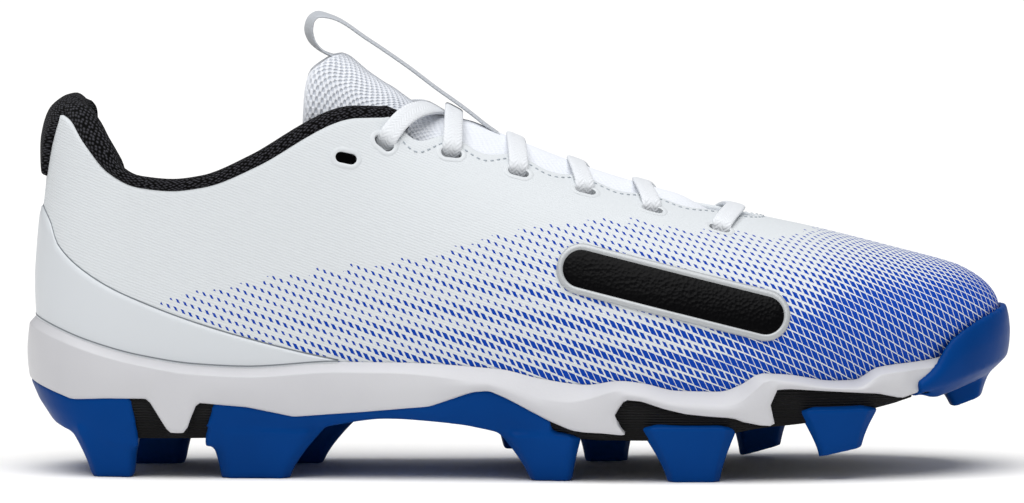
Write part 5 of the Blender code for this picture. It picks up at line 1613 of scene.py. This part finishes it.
wrap_top = wrap_edge(edge_x)
flange = FLANGE_RISE * np.clip((FLANGE_FULL_X - edge_x) / FLANGE_SPAN, 0, 1)
wrap_low = np.minimum(tray_low + flange, edge_z - WRAP_LAP)
wrap_middle = (edge_z + wrap_top) / 2
wrap_under = (BandRow(wrap_low, 0.0, -4.0), BandRow((wrap_low + edge_z) / 2, 0.0, -1.0))
wrap_face = (
    BandRow(edge_z, 0.0, WRAP_WALL * 0.7), BandRow((edge_z + wrap_middle) / 2, 0.0, WRAP_WALL),
    BandRow(wrap_middle, 0.0, WRAP_WALL * 1.1),
    BandRow((wrap_middle + wrap_top) / 2, 0.0, WRAP_WALL * 0.9),
    BandRow(wrap_top, 0.0, WRAP_WALL * 0.45), BandRow(wrap_top, 0.0, -1.0),
    BandRow(wrap_middle, 0.0, -1.0), BandRow(edge_z, -WRAP_LAP, -1.0),
)
wrap_inside = (BandRow(plate_low, 0.2, -PLATE_COVERED_INSET),)
wrap_chain = bands(wrap_under, out) + bands(wrap_face, out + GAP) + bands(wrap_inside, out)
wrap_chain = np.stack(wrap_chain, axis=1)
print("toe wrap reaches", round(float(wrap_top.max()), 1), "mm")

# %% Joining the blue parts
TRAY_VOXEL = 0.9
STUD_VOXEL = 0.6
SMOOTH_FACTOR, SMOOTH_ROUNDS = 0.5, 5
SHARE_OF_FACES = 0.45


def mould(name, meshes, voxel):
    """Joins overlapping lofts into one rounded part."""
    bpy.context.view_layer.objects.active = meshes[0]
    with bpy.context.temp_override(active_object=meshes[0], selected_editable_objects=meshes):
        bpy.ops.object.join()
    part = meshes[0]
    part.name = name
    remesh = part.modifiers.new("one_skin", "REMESH")
    remesh.mode = "VOXEL"
    remesh.voxel_size = voxel * MM
    soften = part.modifiers.new("soft_edges", "SMOOTH")
    soften.factor = SMOOTH_FACTOR
    soften.iterations = SMOOTH_ROUNDS
    thin = part.modifiers.new("fewer_faces", "DECIMATE")
    thin.ratio = SHARE_OF_FACES
    return settle(part)


Group = namedtuple("Group", "node tray rings studs")
for group in (
    Group("heel_cleat", "heel_tray", sections(tray_chain, -FAR_X, HEEL_CLEAT_END_X), HEEL_STUDS),
    Group("arch_cleat", "arch_tray", sections(tray_chain, *ARCH_FRAME_X), ARCH_STUDS),
    Group("toe_cleat", "toe_bumper", sections(wrap_chain, TOE_WRAP_X, FAR_X), TOE_STUDS),
):
    tray = skin(group.tray, group.rings, [plastic], around_columns=True, capped=True)
    part = mould(f"{group.node}_moulded", [tray] + [stud_mesh(stud) for stud in group.studs], TRAY_VOXEL)
    dress(part, "cleat_plastic", group.node)
for stud in FORE_STUDS:
    part = mould(f"stud_{stud.name}_moulded", [stud_mesh(stud)], STUD_VOXEL)
    dress(part, "cleat_plastic", f"stud_{stud.name}")

# %% [markdown]
# ## Insole
# The insole is a foam bed covered in cloth. It shows only from above, through the collar. Its rim is
# lifted a little toward the wall, as a moulded bed is.

# %% Insole
INSOLE_THICKNESS = 3.5
INSOLE_INSET = UPPER_WALL + 2 * GAP
INSOLE_END_X = TOE_TIP_X - 6
# Points of a section: height above the underside, and distance further in from the wall
BedRow = namedtuple("BedRow", "rise inset")
BED_ROWS = (
    BedRow(0.0, 0.0), BedRow(INSOLE_THICKNESS, 0.0), BedRow(INSOLE_THICKNESS + 0.2, 0.8),
    BedRow(INSOLE_THICKNESS - 0.2, 5.0),
)
# The weave of the real cloth is finer. It is drawn coarser so that it shows.
BED_WEAVE = 1.11

# Brushed polyester cloth on foam: grey, fully matt, with a fine weave.
bed_cloth = new_material("brushed_cloth_grey", "6d7177", 0.95, Specular_IOR_Level=0.15, Sheen_Weight=0.3)
bed_weave = add_node(bed_cloth, "ShaderNodeTexVoronoi", {
    "Vector": add_node(bed_cloth, "ShaderNodeTexCoord").outputs["Object"], "Scale": 1 / (BED_WEAVE * MM)})
add_node(bed_cloth, "ShaderNodeBump", {
    "Height": bed_weave.outputs["Distance"], "Strength": 0.5, "Distance": 0.0003}, into="Normal")
bed_low = footbed(ribs.x) + GAP
chain = [ribs.wall(bed_low + row.rise) - ribs.out * (INSOLE_INSET + row.inset) for row in BED_ROWS]
bed_rings = sections(np.stack(chain, axis=1), -FAR_X, INSOLE_END_X)
insole = skin("insole_bed", bed_rings, [bed_cloth], around_columns=True, capped=True)
dress(insole, "insole_foam", "insole")

# %% [markdown]
# ## Side badge
# A plain rounded bar sits on each side of the forefoot: a black film with a silver-grey welded rim. A
# grid of rings from the bar's spine to its edge lets the height of the rim be drawn as a profile.

# %% Badge sizes and films
BADGE_X, BADGE_Z = 46.0, 57.0
BADGE_LENGTH, BADGE_WIDTH = 72.0, 15.0
BADGE_SLOPE_DEG = -14.0
RimRow = namedtuple("RimRow", "share height")
BADGE_PROFILE = (
    RimRow(0.0, 0.95), RimRow(0.35, 0.93), RimRow(0.62, 0.88), RimRow(0.70, 0.72), RimRow(0.73, 0.66),
    RimRow(0.76, 0.95), RimRow(0.80, 1.12), RimRow(0.88, 1.12), RimRow(0.94, 0.98), RimRow(0.98, 0.6),
    RimRow(1.0, -0.3),
)
RIM_FROM = 0.73
END_STEPS, LEVEL_STEPS = 24, 40
BADGE_GRAIN, SILVER_GRAIN = 1.11, 0.667

# Moulded film, black: satin, with a coarse leather-like grain.
black_film = new_material("embossed_film_black", "030304", 0.34, Specular_IOR_Level=0.06)
film_grain = add_node(black_film, "ShaderNodeTexVoronoi", {
    "Vector": add_node(black_film, "ShaderNodeTexCoord").outputs["Object"],
    "Scale": 1 / (BADGE_GRAIN * MM)})
add_node(black_film, "ShaderNodeBump", {
    "Height": film_grain.outputs["Distance"], "Strength": 0.5, "Distance": 0.0003}, into="Normal")
# Metallic film, welded down: pale silver-grey, satin.
silver_film = new_material("welded_film_silver", "aeb1b3", 0.45, Metallic=0.3)
silver_grain = add_node(silver_film, "ShaderNodeTexNoise", {
    "Vector": add_node(silver_film, "ShaderNodeTexCoord").outputs["Object"],
    "Scale": 1 / (SILVER_GRAIN * MM)})
add_node(silver_film, "ShaderNodeBump", {
    "Height": silver_grain.outputs["Fac"], "Strength": 0.3, "Distance": 0.0002}, into="Normal")
print("badge:", BADGE_LENGTH, "x", BADGE_WIDTH, "mm")

# %% Badges on both sides
slope = math.radians(BADGE_SLOPE_DEG)
straight = (BADGE_LENGTH - BADGE_WIDTH) / 2
radius = BADGE_WIDTH / 2
round_end = np.pi * (np.arange(END_STEPS + 1) / END_STEPS - 0.5)
front = np.stack([straight + radius * np.cos(round_end), radius * np.sin(round_end)], -1)
level = np.linspace(straight, -straight, LEVEL_STEPS)[1:-1]
top_run = np.stack([level, np.full(len(level), radius)], -1)
outline = np.concatenate([front, top_run, -front, -top_run])
spine = np.stack([np.clip(outline[:, 0], -straight, straight), np.zeros(len(outline))], -1)
for word, side in (("outer", OUTER), ("inner", INNER)):
    rings = []
    for row in BADGE_PROFILE:
        along, up = (spine + (outline - spine) * row.share).T
        x = BADGE_X + along * math.cos(slope) - up * math.sin(slope)
        z = BADGE_Z + along * math.sin(slope) + up * math.cos(slope)
        rings.append(side_point(x, z, side) + side_normal(x, z, side) * row.height)
    rim_face = np.repeat([row.share >= RIM_FROM for row in BADGE_PROFILE[:-1]], len(outline))
    films = [black_film, silver_film]
    badge = skin(f"badge_{word}", rings, films, around_columns=True, face_material=rim_face)
    dress(badge, "badge_film", f"side_badge_{word}")
